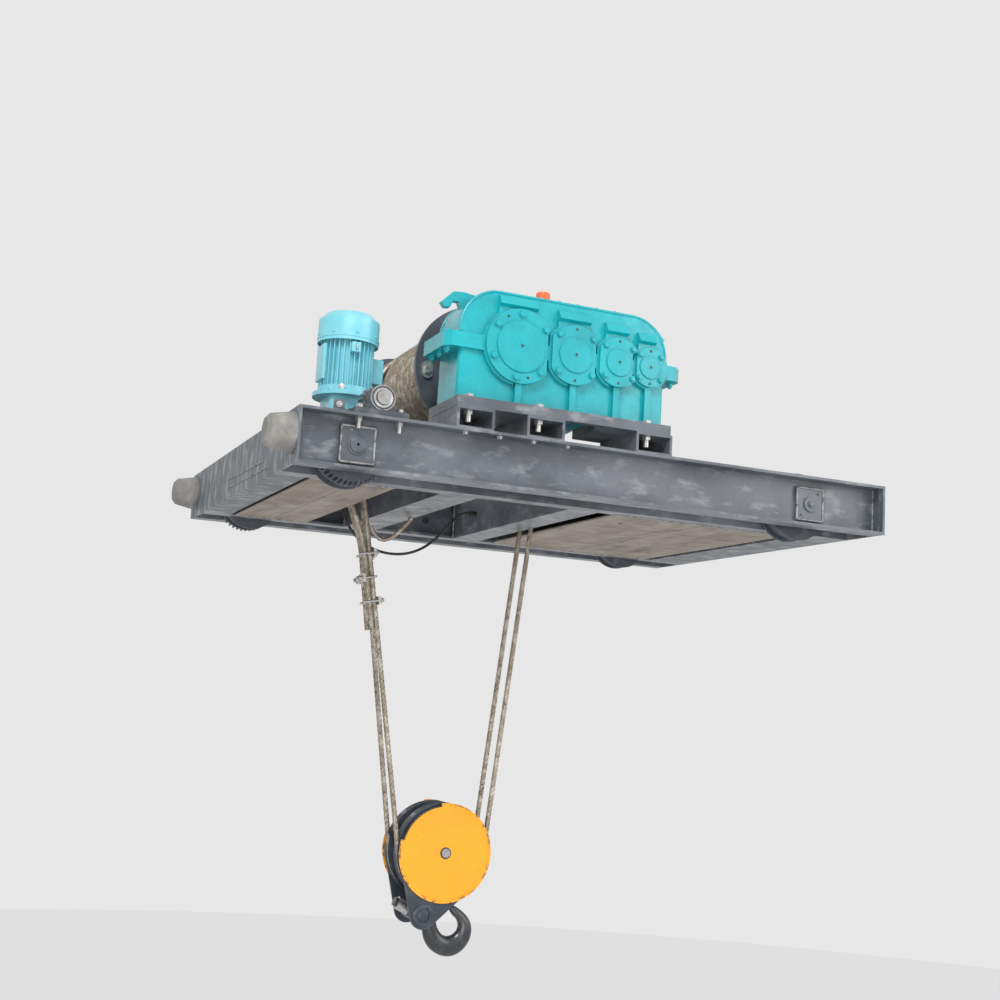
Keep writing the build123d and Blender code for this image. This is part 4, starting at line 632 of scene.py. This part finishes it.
def clips():
    """Wire rope clips: a saddle, a U-bolt and two nuts, turned alternately left and right."""
    bm = bmesh.new()
    leg_y, leg = 0.019, 0.0052
    bars = []
    for rope_y, thimble in zip(ROPE_YS, THIMBLES):
        off_block, on_thimble = dead_side(thimble)
        along = (on_thimble - off_block).normalized()
        left = Vector((-along.y, along.x))
        for number, height in enumerate(CLIP_HEIGHTS):
            live = on_thimble + along * ((height - on_thimble.y) / along.y)
            centre = live + left * (TAIL_SPACING / 2)
            out = left if number % 2 else -left
            outward = Vector((out.x, 0, out.y))
            upward = Vector((along.x, 0, along.y))
            middle_point = Vector((centre.x, rope_y, centre.y))
            bow = []
            for step in range(13):
                angle = math.pi * step / 12
                back = TAIL_SPACING - 0.006 + 0.013 * math.sin(angle)
                bow.append(middle_point - outward * back + Vector((0, leg_y * math.cos(angle), 0)))
            tips = [middle_point + outward * 0.049 + Vector((0, side * leg_y, 0)) for side in (1, -1)]
            bars.append([tips[0], *bow, tips[1]])
            start = middle_point + outward * 0.022
            for offset, reach in ((-0.011, 0.017), (0.011, 0.017), (0.0, 0.011)):
                box_centre = start + outward * 0.008 + upward * offset
                matrix = Matrix((outward, Vector((0, 1, 0)), upward)).transposed().to_4x4()
                matrix.translation = box_centre
                made = bmesh.ops.create_cube(bm, size=1.0, matrix=matrix)["verts"]
                for vert in made:
                    local = matrix.inverted() @ vert.co
                    scaled = Vector((local.x * 0.014, local.y * 0.052, local.z * reach * 0.75))
                    vert.co = matrix @ scaled
            for side in (1, -1):
                nut = middle_point + outward * 0.0375 + Vector((0, side * leg_y, 0))
                bolt_head(bm, nut, outward, 0.0095, 0.009, 0.0012)
    saddles = piece("clip_saddles", bm, "frame", "zinc")
    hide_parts("rope_clips")
    for number, bar in enumerate(bars):
        mesh = swept(f"clip_u_bolt_{number + 1}", [tuple(point) for point in bar], Round(leg, 0.004, 12))
        finish_piece(mesh.name, mesh, MATERIALS["zinc"], "frame")


SPARE_TAIL = (
    (-0.562, 0.135, -0.020),
    (-0.540, 0.133, -0.062),
    (-0.500, 0.128, -0.078),
    (-0.455, 0.120, -0.050),
    (-0.420, 0.112, -0.008),
    (-0.392, 0.105, 0.030),
)


def spare_tail():
    """A cut end of old rope left tied to the anchor, its wires frayed."""
    line = route_line("spare tail route", SPARE_TAIL)
    mesh = swept("spare_rope_tail", line, Strands(0.009, 0.006))
    tail = finish_piece(mesh.name, mesh, MATERIALS["rope_steel"], "frame", angle=80)
    end = Vector(line[-1])
    way = (end - Vector(line[-4])).normalized()
    side, up = across(way)
    for number in range(9):
        spread = random.uniform(0.004, 0.020)
        angle = 2 * math.pi * number / 9
        out = spread * (math.cos(angle) * side + math.sin(angle) * up)
        tip = end + way * random.uniform(0.03, 0.05) + out
        wire = [tuple(point) for point in (end - way * 0.01 + out * 0.2, end + way * 0.018 + out * 0.6, tip)]
        wire_mesh = swept(f"frayed_wire_{number + 1}", wire, Round(0.0014, 0.004, 6))
        finish_piece(wire_mesh.name, wire_mesh, MATERIALS["rope_steel"], "frame")
    return tail


CABLE_Y, CABLE_RADIUS, CABLE_LENGTH = 0.350, 0.006, 0.81
CABLE_ROUTE = (
    (-0.630, CABLE_Y, 0.120),
    (-0.630, CABLE_Y, 0.072),
    (-0.610, CABLE_Y, 0.020),
    (-0.575, CABLE_Y + 0.003, -0.028),
    (-0.522, CABLE_Y + 0.006, -0.070),
    (-0.455, CABLE_Y + 0.004, -0.098),
    (-0.380, CABLE_Y, -0.106),
    (-0.305, CABLE_Y - 0.005, -0.094),
    (-0.238, CABLE_Y - 0.007, -0.060),
    (-0.180, CABLE_Y - 0.005, -0.010),
    (-0.135, CABLE_Y - 0.002, 0.045),
    (-0.096, CABLE_Y, 0.092),
    (-0.070, CABLE_Y, 0.116),
    (-0.030, CABLE_Y, 0.116),
)


def signal_cable():
    curve = route_curve("signal_cable_sheath", CABLE_ROUTE)
    curve.bevel_depth = CABLE_RADIUS
    curve.bevel_resolution = 4
    curve.materials.append(MATERIALS["cable_black"])
    cable = bpy.data.objects.new("signal_cable_sheath", curve)
    bpy.context.collection.objects.link(cable)
    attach(cable, "frame")
    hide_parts("signal_cable")


# ---------------------------------------------------------------- hook
HOOK_TILT = math.radians(64.5)
HOOK_RIGHT = Vector((math.cos(HOOK_TILT), 0, math.sin(HOOK_TILT)))
HOOK_UP = Vector((-math.sin(HOOK_TILT), 0, math.cos(HOOK_TILT)))
# outer point, inner point and half thickness of the hook's body, from the shank round to the tip
HOOK_STATIONS = (
    ((-0.0190, 0.1050), (0.0190, 0.1050), 0.0190),
    ((-0.0190, -0.0300), (0.0190, -0.0300), 0.0190),
    ((-0.0240, -0.0460), (0.0240, -0.0460), 0.0230),
    ((-0.0480, -0.0640), (0.0290, -0.0720), 0.0245),
    ((-0.0780, -0.0900), (0.0130, -0.0980), 0.0250),
    ((-0.0990, -0.1240), (-0.0080, -0.1180), 0.0255),
    ((-0.1070, -0.1620), (-0.0230, -0.1430), 0.0258),
    ((-0.1040, -0.2020), (-0.0270, -0.1660), 0.0258),
    ((-0.0850, -0.2410), (-0.0190, -0.1860), 0.0255),
    ((-0.0490, -0.2690), (-0.0030, -0.2010), 0.0250),
    ((0.0000, -0.2800), (0.0170, -0.2070), 0.0245),
    ((0.0450, -0.2690), (0.0360, -0.2030), 0.0235),
    ((0.0760, -0.2430), (0.0500, -0.1910), 0.0220),
    ((0.0920, -0.2080), (0.0580, -0.1750), 0.0200),
    ((0.0990, -0.1720), (0.0630, -0.1570), 0.0170),
    ((0.1000, -0.1450), (0.0740, -0.1370), 0.0120),
    ((0.0950, -0.1290), (0.0860, -0.1270), 0.0050),
)


def eased(values, steps):
    """A Catmull-Rom line through rows of values."""
    values = np.array(values, float)
    padded = np.concatenate([[2 * values[0] - values[1]], values, [2 * values[-1] - values[-2]]])
    rows = []
    for index in range(1, len(padded) - 2):
        before, start, end, after = padded[index - 1 : index + 3]
        for step in range(steps):
            t = step / steps
            rows.append(
                start
                + 0.5 * t * (end - before)
                + t * t * (before - 2.5 * start + 2 * end - 0.5 * after)
                + t**3 * (1.5 * (start - end) + 0.5 * (after - before))
            )
    return np.array([*rows, values[-1]])


def hook_body():
    bm = bmesh.new()
    origin = Vector((PIN.x, BLOCK_Y, PIN.y))
    sides = 28
    rings = []
    rows = [(*outer, *inner, thickness) for outer, inner, thickness in HOOK_STATIONS]
    for outer_x, outer_z, inner_x, inner_z, thickness in eased(rows, 5):
        outer = HOOK_RIGHT * outer_x + HOOK_UP * outer_z
        inner = HOOK_RIGHT * inner_x + HOOK_UP * inner_z
        centre, arm = origin + (outer + inner) / 2, (outer - inner) / 2
        ring = []
        for step in range(sides):
            angle = 2 * math.pi * step / sides
            flat = 1.0 - 0.10 * math.sin(angle) ** 2 * math.cos(angle)
            across_hook = Vector((0, 1, 0)) * thickness * flat * math.sin(angle)
            ring.append(bm.verts.new(centre + arm * math.cos(angle) + across_hook))
        rings.append(ring)
    for first, second in zip(rings, rings[1:]):
        for step in range(sides):
            after = (step + 1) % sides
            bm.faces.new((first[step], first[after], second[after], second[step]))
    bm.faces.new(rings[0][::-1])
    bm.faces.new(rings[-1])
    made = piece("single_hook", bm, "hook", "hook_black")
    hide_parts("hook")


def block_details():
    """End discs, washers and rivets on the block's covers and cheeks."""
    bm = bmesh.new()
    low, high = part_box("block_covers")
    for y, direction in ((low[1], -1), (high[1], 1)):
        centre = (BLOCK.x, y, BLOCK.y)
        washer = [(0.010, 0), (0.024, 0), (0.024, 0.002), (0.019, 0.0035), (0.010, 0.0035)]
        cap = [(0, 0.0035), (0.016, 0.0035), (0.016, 0.0055), (0, 0.0055)]
        for profile in (washer, cap):
            turned(bm, profile, centre, (0, direction, 0), 36)
    piece("axle_end_washers", bm, "block_housing", "block_dark")
    bm = bmesh.new()
    low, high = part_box("block_cheeks")
    for y, direction in ((low[1], -1), (high[1], 1)):
        centre = (PIN.x, y, PIN.y)
        ring = [(0.026, 0), (0.046, 0), (0.046, 0.0045), (0.043, 0.006), (0.026, 0.006)]
        turned(bm, ring, centre, (0, direction, 0), 36)
        pin_end = [(0, 0.0), (0.024, 0.0), (0.024, 0.005), (0.020, 0.0065), (0, 0.0065)]
        turned(bm, pin_end, centre, (0, direction, 0), 36)
        for angle in (60, 180, 300):
            spot = Vector((0.036 * math.cos(math.radians(angle)), 0, 0.036 * math.sin(math.radians(angle))))
            place = Vector(centre) + spot + Vector((0, direction * 0.006, 0))
            bolt_head(bm, place, (0, direction, 0), 0.005, 0.003)
    piece("pin_boss_rings", bm, "block_housing", "block_dark")


# ---------------------------------------------------------------- gearbox details
# for each shaft, from the drum's to the motor's: rings and sizes of bolts, bosses, and angles in degrees
BOLT_RINGS = (0.122, 0.100, 0.083, 0.065)
BOLT_SIZES = (0.0135, 0.0125, 0.0112, 0.0100)
BOSS_RADII = (0.101, 0.070, 0.055, 0.046)
COVER_BOLTS = ((38, 92, 145, 205, 262, 312), *((45, 135, 225, 315),) * 3)
JACK_HOLES = ((120, 285), (90, 270), (90, 270), (90, 270))


def round_shaft(x, ring, angle, y):
    """A place on a circle about a gearbox shaft."""
    return x + ring * math.cos(math.radians(angle)), y, SHAFT_Z + ring * math.sin(math.radians(angle))


def cover_details():
    cover_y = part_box("bearing_covers")[0][1] + 0.005
    bm = bmesh.new()
    for x, ring, size, angles in zip(SHAFT_XS, BOLT_RINGS, BOLT_SIZES, COVER_BOLTS):
        for angle in angles:
            bolt_head(bm, round_shaft(x, ring, angle, cover_y), (0, -1, 0), size, 0.0085, 0.0022)
    heads = piece("cover_bolt_heads", bm, "frame", "gearbox_turquoise")
    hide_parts("gearbox_bolts")
    # the jack holes and centre holes are thin dark discs: painted shade in place of the hollows of real holes
    bm = bmesh.new()
    for x, ring, angles in zip(SHAFT_XS, BOLT_RINGS, JACK_HOLES):
        for angle in angles:
            turned(bm, disc(0.0055, 0.0008), round_shaft(x, ring, angle, cover_y), (0, -1, 0), 20)
        centre = (x, cover_y - 0.005, SHAFT_Z)
        turned(bm, disc(0.0060, 0.0008), centre, (0, -1, 0), 20)
    piece("cover_jack_hole_shade_discs", bm, "frame", "block_dark")
    bm = bmesh.new()
    for x, radius in zip(SHAFT_XS, BOSS_RADII):
        centre = (x, cover_y - 0.005, SHAFT_Z)
        dimple = [(0.006, 0), (0.010, 0), (0.010, 0.0012), (0.006, 0.0012), (0.006, 0)]
        turned(bm, dimple, centre, (0, -1, 0), 24)
        inner, outer = radius - 0.005, radius - 0.001
        rim = [(inner, 0.001), (outer, 0.001), (radius + 0.002, -0.006), (inner, -0.006)]
        turned(bm, [*rim, rim[0]], centre, (0, -1, 0), 64)
    piece("cover_boss_rims", bm, "frame", "gearbox_turquoise")


def split_joint():
    """Bolts along the joint of the two housings, the hatch's screws and the rolled edge of the lid."""
    bm = bmesh.new()
    flange_low, flange_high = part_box("gearbox_lower")
    x_left, x_right = flange_low[0] + 0.025, flange_high[0] - 0.025
    z_top, z_low = SHAFT_Z + 0.022, SHAFT_Z - 0.035
    spots = [(x, y) for x in (x_left, x_right) for y in (-0.800, -0.720, -0.640)]
    spots += [(x, -0.599) for x in (-0.465, -0.218, 0.291)]
    for x, y in spots:
        bolt_head(bm, (x, y, z_top), (0, 0, 1), 0.0125, 0.010, 0.0025)
        bolt_head(bm, (x, y, z_low), (0, 0, -1), 0.0125, 0.011, 0.0025)
        turned(bm, disc(0.007, 0.020), (x, y, z_low), (0, 0, -1), 16)
    hatch_low, hatch_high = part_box("inspection_cover")
    z_hatch = hatch_high[2] - 0.006
    for x in np.linspace(hatch_low[0] + 0.012, hatch_high[0] - 0.012, 5):
        for y in (hatch_low[1] + 0.012, hatch_high[1] - 0.012):
            bolt_head(bm, (x, y, z_hatch), (0, 0, 1), 0.0085, 0.006, 0.0015)
    piece("housing_bolts", bm, "frame", "gearbox_turquoise")
    left, right, top, corner = -0.573, 0.289, 0.784, 0.150
    bead_y = -0.8285
    outline = [(left, bead_y, SHAFT_Z + 0.03)]
    for centre_x, first, last in ((left + corner, 180, 90), (right - corner, 90, 0)):
        for angle in np.linspace(math.radians(first), math.radians(last), 14):
            z = top - corner + corner * math.sin(angle)
            outline.append((centre_x + corner * math.cos(angle), bead_y, z))
    outline.append((right, bead_y, SHAFT_Z + 0.03))
    for name, y in (("front", bead_y), ("rear", -0.6115)):
        mesh = swept(f"lid_edge_{name}", [(x, y, z) for x, _, z in outline], Round(0.0055, 0.008, 10))
        finish_piece(mesh.name, mesh, MATERIALS["gearbox_turquoise"], "frame")


# ---------------------------------------------------------------- travel motor details


def motor_details():
    cowl_low, cowl_high = (Vector(corner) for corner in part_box("travel_motor_cowl"))
    foot_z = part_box("travel_motor_body")[0][2] + 0.016
    axis = Vector((MOTOR.x, MOTOR.y, 0))
    bm = bmesh.new()
    for radius in (0.020, 0.036, 0.052, 0.068):
        top = axis + Vector((0, 0, cowl_high.z))
        rib = [(radius, 0), (radius + 0.004, 0), (radius + 0.004, 0.002), (radius, 0.002), (radius, 0)]
        turned(bm, rib, top, (0, 0, 1), 40)
    for angle in range(0, 360, 45):
        arm = Vector((math.cos(math.radians(angle)), math.sin(math.radians(angle)), 0))
        spot = axis + arm * 0.1135 + Vector((0, 0, cowl_low.z + 0.03))
        bolt_head(bm, spot, arm, 0.005, 0.003, 0.001)
    for angle in (45, 135, 225, 315):
        arm = Vector((math.cos(math.radians(angle)), math.sin(math.radians(angle)), 0))
        bolt_head(bm, axis + arm * 0.108 + Vector((0, 0, foot_z)), (0, 0, 1), 0.009, 0.008, 0.002)
    band = [(0.1142, 0), (0.1158, 0.001), (0.1158, 0.009), (0.1142, 0.010), (0.1142, 0)]
    turned(bm, band, axis + Vector((0, 0, cowl_low.z + 0.012)), (0, 0, 1), 64)
    piece("cowl_screws_and_rings", bm, "frame", "motor_blue")
    bm = bmesh.new()
    slab(bm, axis + Vector((-0.103, -0.045, 0.400)), axis + Vector((-0.090, 0.045, 0.535)), 0.003)
    slab(bm, axis + Vector((-0.018, -0.118, 0.500)), axis + Vector((0.018, -0.090, 0.538)), 0.005)
    slab(bm, axis + Vector((0.078, 0.016, 0.421)), axis + Vector((0.150, 0.114, 0.519)), 0.006)
    piece("motor_pads", bm, "frame", "motor_blue")
    eye = []
    for angle in np.linspace(0, 2 * math.pi, 20):
        eye.append(axis + Vector((0, -0.114 - 0.010 * math.cos(angle), 0.519 + 0.010 * math.sin(angle))))
    mesh = swept("motor_lifting_eye", [tuple(point) for point in eye], Round(0.0035, 0.004, 10))
    finish_piece(mesh.name, mesh, MATERIALS["zinc"], "frame")
    bm = bmesh.new()
    plug = [(0, 0), (0.012, 0), (0.012, 0.004), (0.009, 0.006), (0, 0.006)]
    turned(bm, plug, axis + Vector((-0.040, -0.0995, 0.367)), (-0.35, -1, 0), 28)
    piece("motor_drain_plug", bm, "frame", "zinc")


def pillow_details():
    """Seal rings of the pillow blocks, and the washers under their bolts."""
    low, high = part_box("pillow_blocks")
    centre_x = middle("pillow_blocks").x
    z = middle("drive_shaft").z
    bm = bmesh.new()
    for y, direction in ((low[1] + 0.004, -1), (high[1] - 0.004, 1)):
        spot = (centre_x, y, z)
        seal = [(0.027, 0), (0.036, 0), (0.036, 0.003), (0.027, 0.0045), (0.027, 0)]
        rim = [(0.042, 0), (0.047, 0), (0.046, 0.002), (0.042, 0.002), (0.042, 0)]
        for profile in (seal, rim):
            turned(bm, profile, spot, (0, direction, 0), 40)
    piece("pillow_seal_rings", bm, "frame", "machined_steel")
    bm = bmesh.new()
    for x in (centre_x - 0.075, centre_x + 0.075):
        for y in (low[1] + 0.030, high[1] - 0.030):
            washer = [(0.008, 0), (0.017, 0), (0.017, 0.003), (0.008, 0.003)]
            turned(bm, washer, (x, y, 0.2525), (0, 0, 1), 24)
    piece("pillow_washers", bm, "frame", "zinc")


# ---------------------------------------------------------------- frame details
WELD_RADIUS = 0.0042
AXLE_X, AXLE_Z = 0.950, 0.125
# where weld beads lie, as distances from the middle of the frame and as heights
AXLE_PLATE_Y, END_PLATE_Y, SOFFIT_Y, WEB_Y = 0.8805, 0.8695, 0.6255, 0.6245
SOFFIT_Z, DECK_Z = 0.0310, 0.2315


def weld(name, points, radius=WELD_RADIUS, body="frame"):
    mesh = swept(name, [tuple(point) for point in points], Round(radius, 0.0022, 8, 0.16, 0.0075))
    return finish_piece(name, mesh, WELD_METAL, body, angle=70)


def frame_welds():
    plate_low, plate_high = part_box("axle_plates")
    z_low, z_high = plate_low[2], plate_high[2]
    for number, x in enumerate((-AXLE_X, AXLE_X)):
        for side, y in (("near", -AXLE_PLATE_Y), ("far", AXLE_PLATE_Y)):
            left, right = x - 0.062, x + 0.062
            corners = ((left, z_low), (right, z_low), (right, z_high), (left, z_high), (left, z_low))
            line = [(corner_x, y, corner_z) for corner_x, corner_z in corners]
            weld(f"axle_plate_weld_{side}_{number + 1}", line, 0.0052)
    for name, node in (("left", 0), ("right", 1)):
        inward = 1 if node == 0 else -1
        x = (FRAME_LOW.x, FRAME_HIGH.x)[node] + inward * 0.002
        for side, y in (("near", -END_PLATE_Y), ("far", END_PLATE_Y)):
            line = [(x, y, FRAME_LOW.z + 0.013), (x, y, FRAME_HIGH.z - 0.013)]
            weld(f"end_plate_weld_{name}_{side}", line)
    for number, (x0, x1) in enumerate(((-1.040, -0.715), (0.203, 1.030))):
        for side, y in (("near", -SOFFIT_Y), ("far", SOFFIT_Y)):
            weld(f"soffit_weld_{side}_{number + 1}", [(x0, y, SOFFIT_Z), (x1, y, SOFFIT_Z)], 0.0045)
    for number, (x0, x1) in enumerate(((-0.535, -0.385), (0.0, 0.130))):
        for side, y in (("near", -WEB_Y), ("far", WEB_Y)):
            for x in (x0 - 0.001, x1 + 0.001):
                edge = "left" if x < x0 else "right"
                weld(f"beam_weld_{side}_{edge}_{number + 1}", [(x, y, 0.032), (x, y, 0.222)])
    for number, (x0, x1) in enumerate(((-0.600, -0.453), (-0.323, -0.170), (0.130, 0.285))):
        line = [(x0, -0.9195, DECK_Z), (x1, -0.9195, DECK_Z)]
        weld(f"pedestal_weld_{number + 1}", line)
        for edge, x in (("left", x0), ("right", x1)):
            weld(f"pedestal_side_weld_{edge}_{number + 1}", [(x, -0.918, DECK_Z), (x, -0.630, DECK_Z)])
    for number, z in enumerate((0.065, 0.100)):
        line = [(-1.1805, -0.55 + 0.1 * number, z), (-1.1805, 0.15, z + 0.01)]
        weld(f"end_plate_patch_{number + 1}", line, 0.003)


def axle_ends():
    """The round axle end of the driven wheels and the bolted one of the idle wheels."""
    bm = bmesh.new()
    for y, direction in ((-0.889, -1), (0.889, 1)):
        outward = (0, direction, 0)
        cap = [(0, -0.004), (0.029, -0.004), (0.029, 0.0005), (0.027, 0.002)]
        cap += [(0.006, 0.002), (0.004, 0), (0, 0)]
        collar = [(0.031, -0.008), (0.037, -0.008), (0.037, -0.004), (0.031, -0.002)]
        for profile in (cap, collar):
            turned(bm, profile, (-AXLE_X, y, AXLE_Z), outward, 40)
        bolt_head(bm, (AXLE_X, y, AXLE_Z), outward, 0.013, 0.008, 0.002)
        for sign in (-1, 1):
            spot = (AXLE_X + 0.040 * sign, y * 0.991, AXLE_Z + 0.045 * sign)
            bolt_head(bm, spot, outward, 0.006, 0.005)
    piece("axle_end_caps", bm, "frame", "frame_paint")


def frame_trim():
    """Bolts, holes and seams that break up the frame's plates; the holes are thin black discs of painted
    shade.
    """
    bm = bmesh.new()
    # black discs on the web and the soffit: painted shade where holes would be
    for x, z, radius in ((-0.120, 0.110, 0.016), (0.030, 0.120, 0.010), (-0.660, 0.125, 0.014)):
        turned(bm, disc(radius, 0.0015), (x, 0.6905, z), (0, -1, 0), 32)
    for x, y in ((-0.870, -0.20), (0.62, 0.10), (0.34, -0.42), (0.90, 0.35)):
        turned(bm, disc(0.010, 0.0012), (x, y, 0.0302), (0, 0, -1), 24)
    piece("plate_hole_shade_discs", bm, "frame", "cable_black")
    bm = bmesh.new()
    for x in (-0.872, 0.615):
        slab(bm, (x, -0.618, 0.0288), (x + 0.0035, 0.618, 0.0302), 0.0004)
    for y in (-0.300, 0.260):
        slab(bm, (0.215, y, 0.0288), (1.020, y + 0.0035, 0.0302), 0.0004)
    piece("soffit_seams", bm, "frame", "bare_steel")
    bm = bmesh.new()
    bracket = Vector((-1.030, -0.905, 0.230))
    slab(bm, bracket + Vector((-0.020, -0.018, 0.0)), bracket + Vector((0.020, 0.018, 0.006)), 0.001)
    slab(bm, bracket + Vector((-0.020, 0.012, 0.0)), bracket + Vector((0.020, 0.018, 0.045)), 0.001)
    piece("cable_bracket", bm, "frame", "frame_paint")
    bm = bmesh.new()
    bolt_head(bm, bracket + Vector((0, 0.012, 0.028)), (0, -1, 0), 0.009, 0.007, 0.002)
    for x in (-0.560, -0.425, -0.290, -0.150):
        bolt_head(bm, (x, -0.905, 0.2195), (0, 0, -1), 0.010, 0.008, 0.002)
    piece("bracket_bolts", bm, "frame", "zinc")


def anchor_nuts():
    bm = bmesh.new()
    for rope_y, centre in zip(ROPE_YS, THIMBLES):
        for direction in (-1, 1):
            spot = (centre.x, rope_y + direction * 0.032, centre.y)
            pin_head = [(0, -0.002), (0.016, -0.002), (0.016, 0.003), (0, 0.003)]
            turned(bm, pin_head, spot, (0, direction, 0), 28)
    piece("anchor_pin_heads", bm, "frame", "zinc")


# ---------------------------------------------------------------- stage, light and camera
CAMERA_PLACE = Vector((-2.338, -5.526, -0.777))
CAMERA_TURN, CAMERA_RISE, CAMERA_ROLL = math.radians(-22.661), math.radians(8.678), math.radians(3.311)
CAMERA_LENS = 50.4
FLOOR_DROP = 6.3  # clears the hook block at its lowest, six metres down


def camera():
    data = bpy.data.cameras.new("camera")
    data.lens = CAMERA_LENS
    data.clip_end = 200
    made = bpy.data.objects.new("camera", data)
    bpy.context.collection.objects.link(made)
    turn = Matrix.Rotation(CAMERA_TURN, 4, "Z") @ Matrix.Rotation(math.radians(90) + CAMERA_RISE, 4, "X")
    made.matrix_world = Matrix.Translation(CAMERA_PLACE) @ turn @ Matrix.Rotation(CAMERA_ROLL, 4, "Z")
    bpy.context.scene.camera = made


def stage():
    material = bpy.data.materials.new("pale floor")
    material.use_nodes = True
    material.node_tree.nodes["Principled BSDF"].inputs["Base Color"].default_value = (0.92, 0.92, 0.92, 1)
    material.node_tree.nodes["Principled BSDF"].inputs["Roughness"].default_value = 0.9
    bm = bmesh.new()
    bmesh.ops.create_circle(bm, cap_ends=True, radius=45, segments=96)
    mesh = bpy.data.meshes.new("floor")
    bm.to_mesh(mesh)
    bm.free()
    floor = bpy.data.objects.new("floor", mesh)
    mesh.materials.append(material)
    floor.location.z = cad_box[0][2] - FLOOR_DROP
    bpy.context.collection.objects.link(floor)


def light():
    world = bpy.data.worlds.new("soft white")
    bpy.context.scene.world = world
    world.use_nodes = True
    background = world.node_tree.nodes["Background"]
    background.inputs["Color"].default_value = (1, 1, 1, 1)
    background.inputs["Strength"].default_value = 0.80
    for name, place, size, power in (
        ("key", (-3.5, -6.0, 5.5), 3.0, 460),
        ("fill", (4.5, -5.0, 1.0), 4.0, 130),
        ("under", (-1.5, -5.0, -1.6), 3.0, 90),
    ):
        data = bpy.data.lights.new(name, "AREA")
        data.size = size
        data.energy = power
        lamp = bpy.data.objects.new(name, data)
        lamp.location = place
        lamp.rotation_euler = (Vector((0, 0, 0.1)) - Vector(place)).to_track_quat("-Z", "Y").to_euler()
        bpy.context.collection.objects.link(lamp)
    bpy.context.scene.view_settings.view_transform = "Standard"


random.seed(7)
camera()
stage()
light()
falls()
windings()
thimbles()
clips()
spare_tail()
signal_cable()
hook_body()
block_details()
cover_details()
split_joint()
motor_details()
pillow_details()
frame_welds()
axle_ends()
frame_trim()
anchor_nuts()
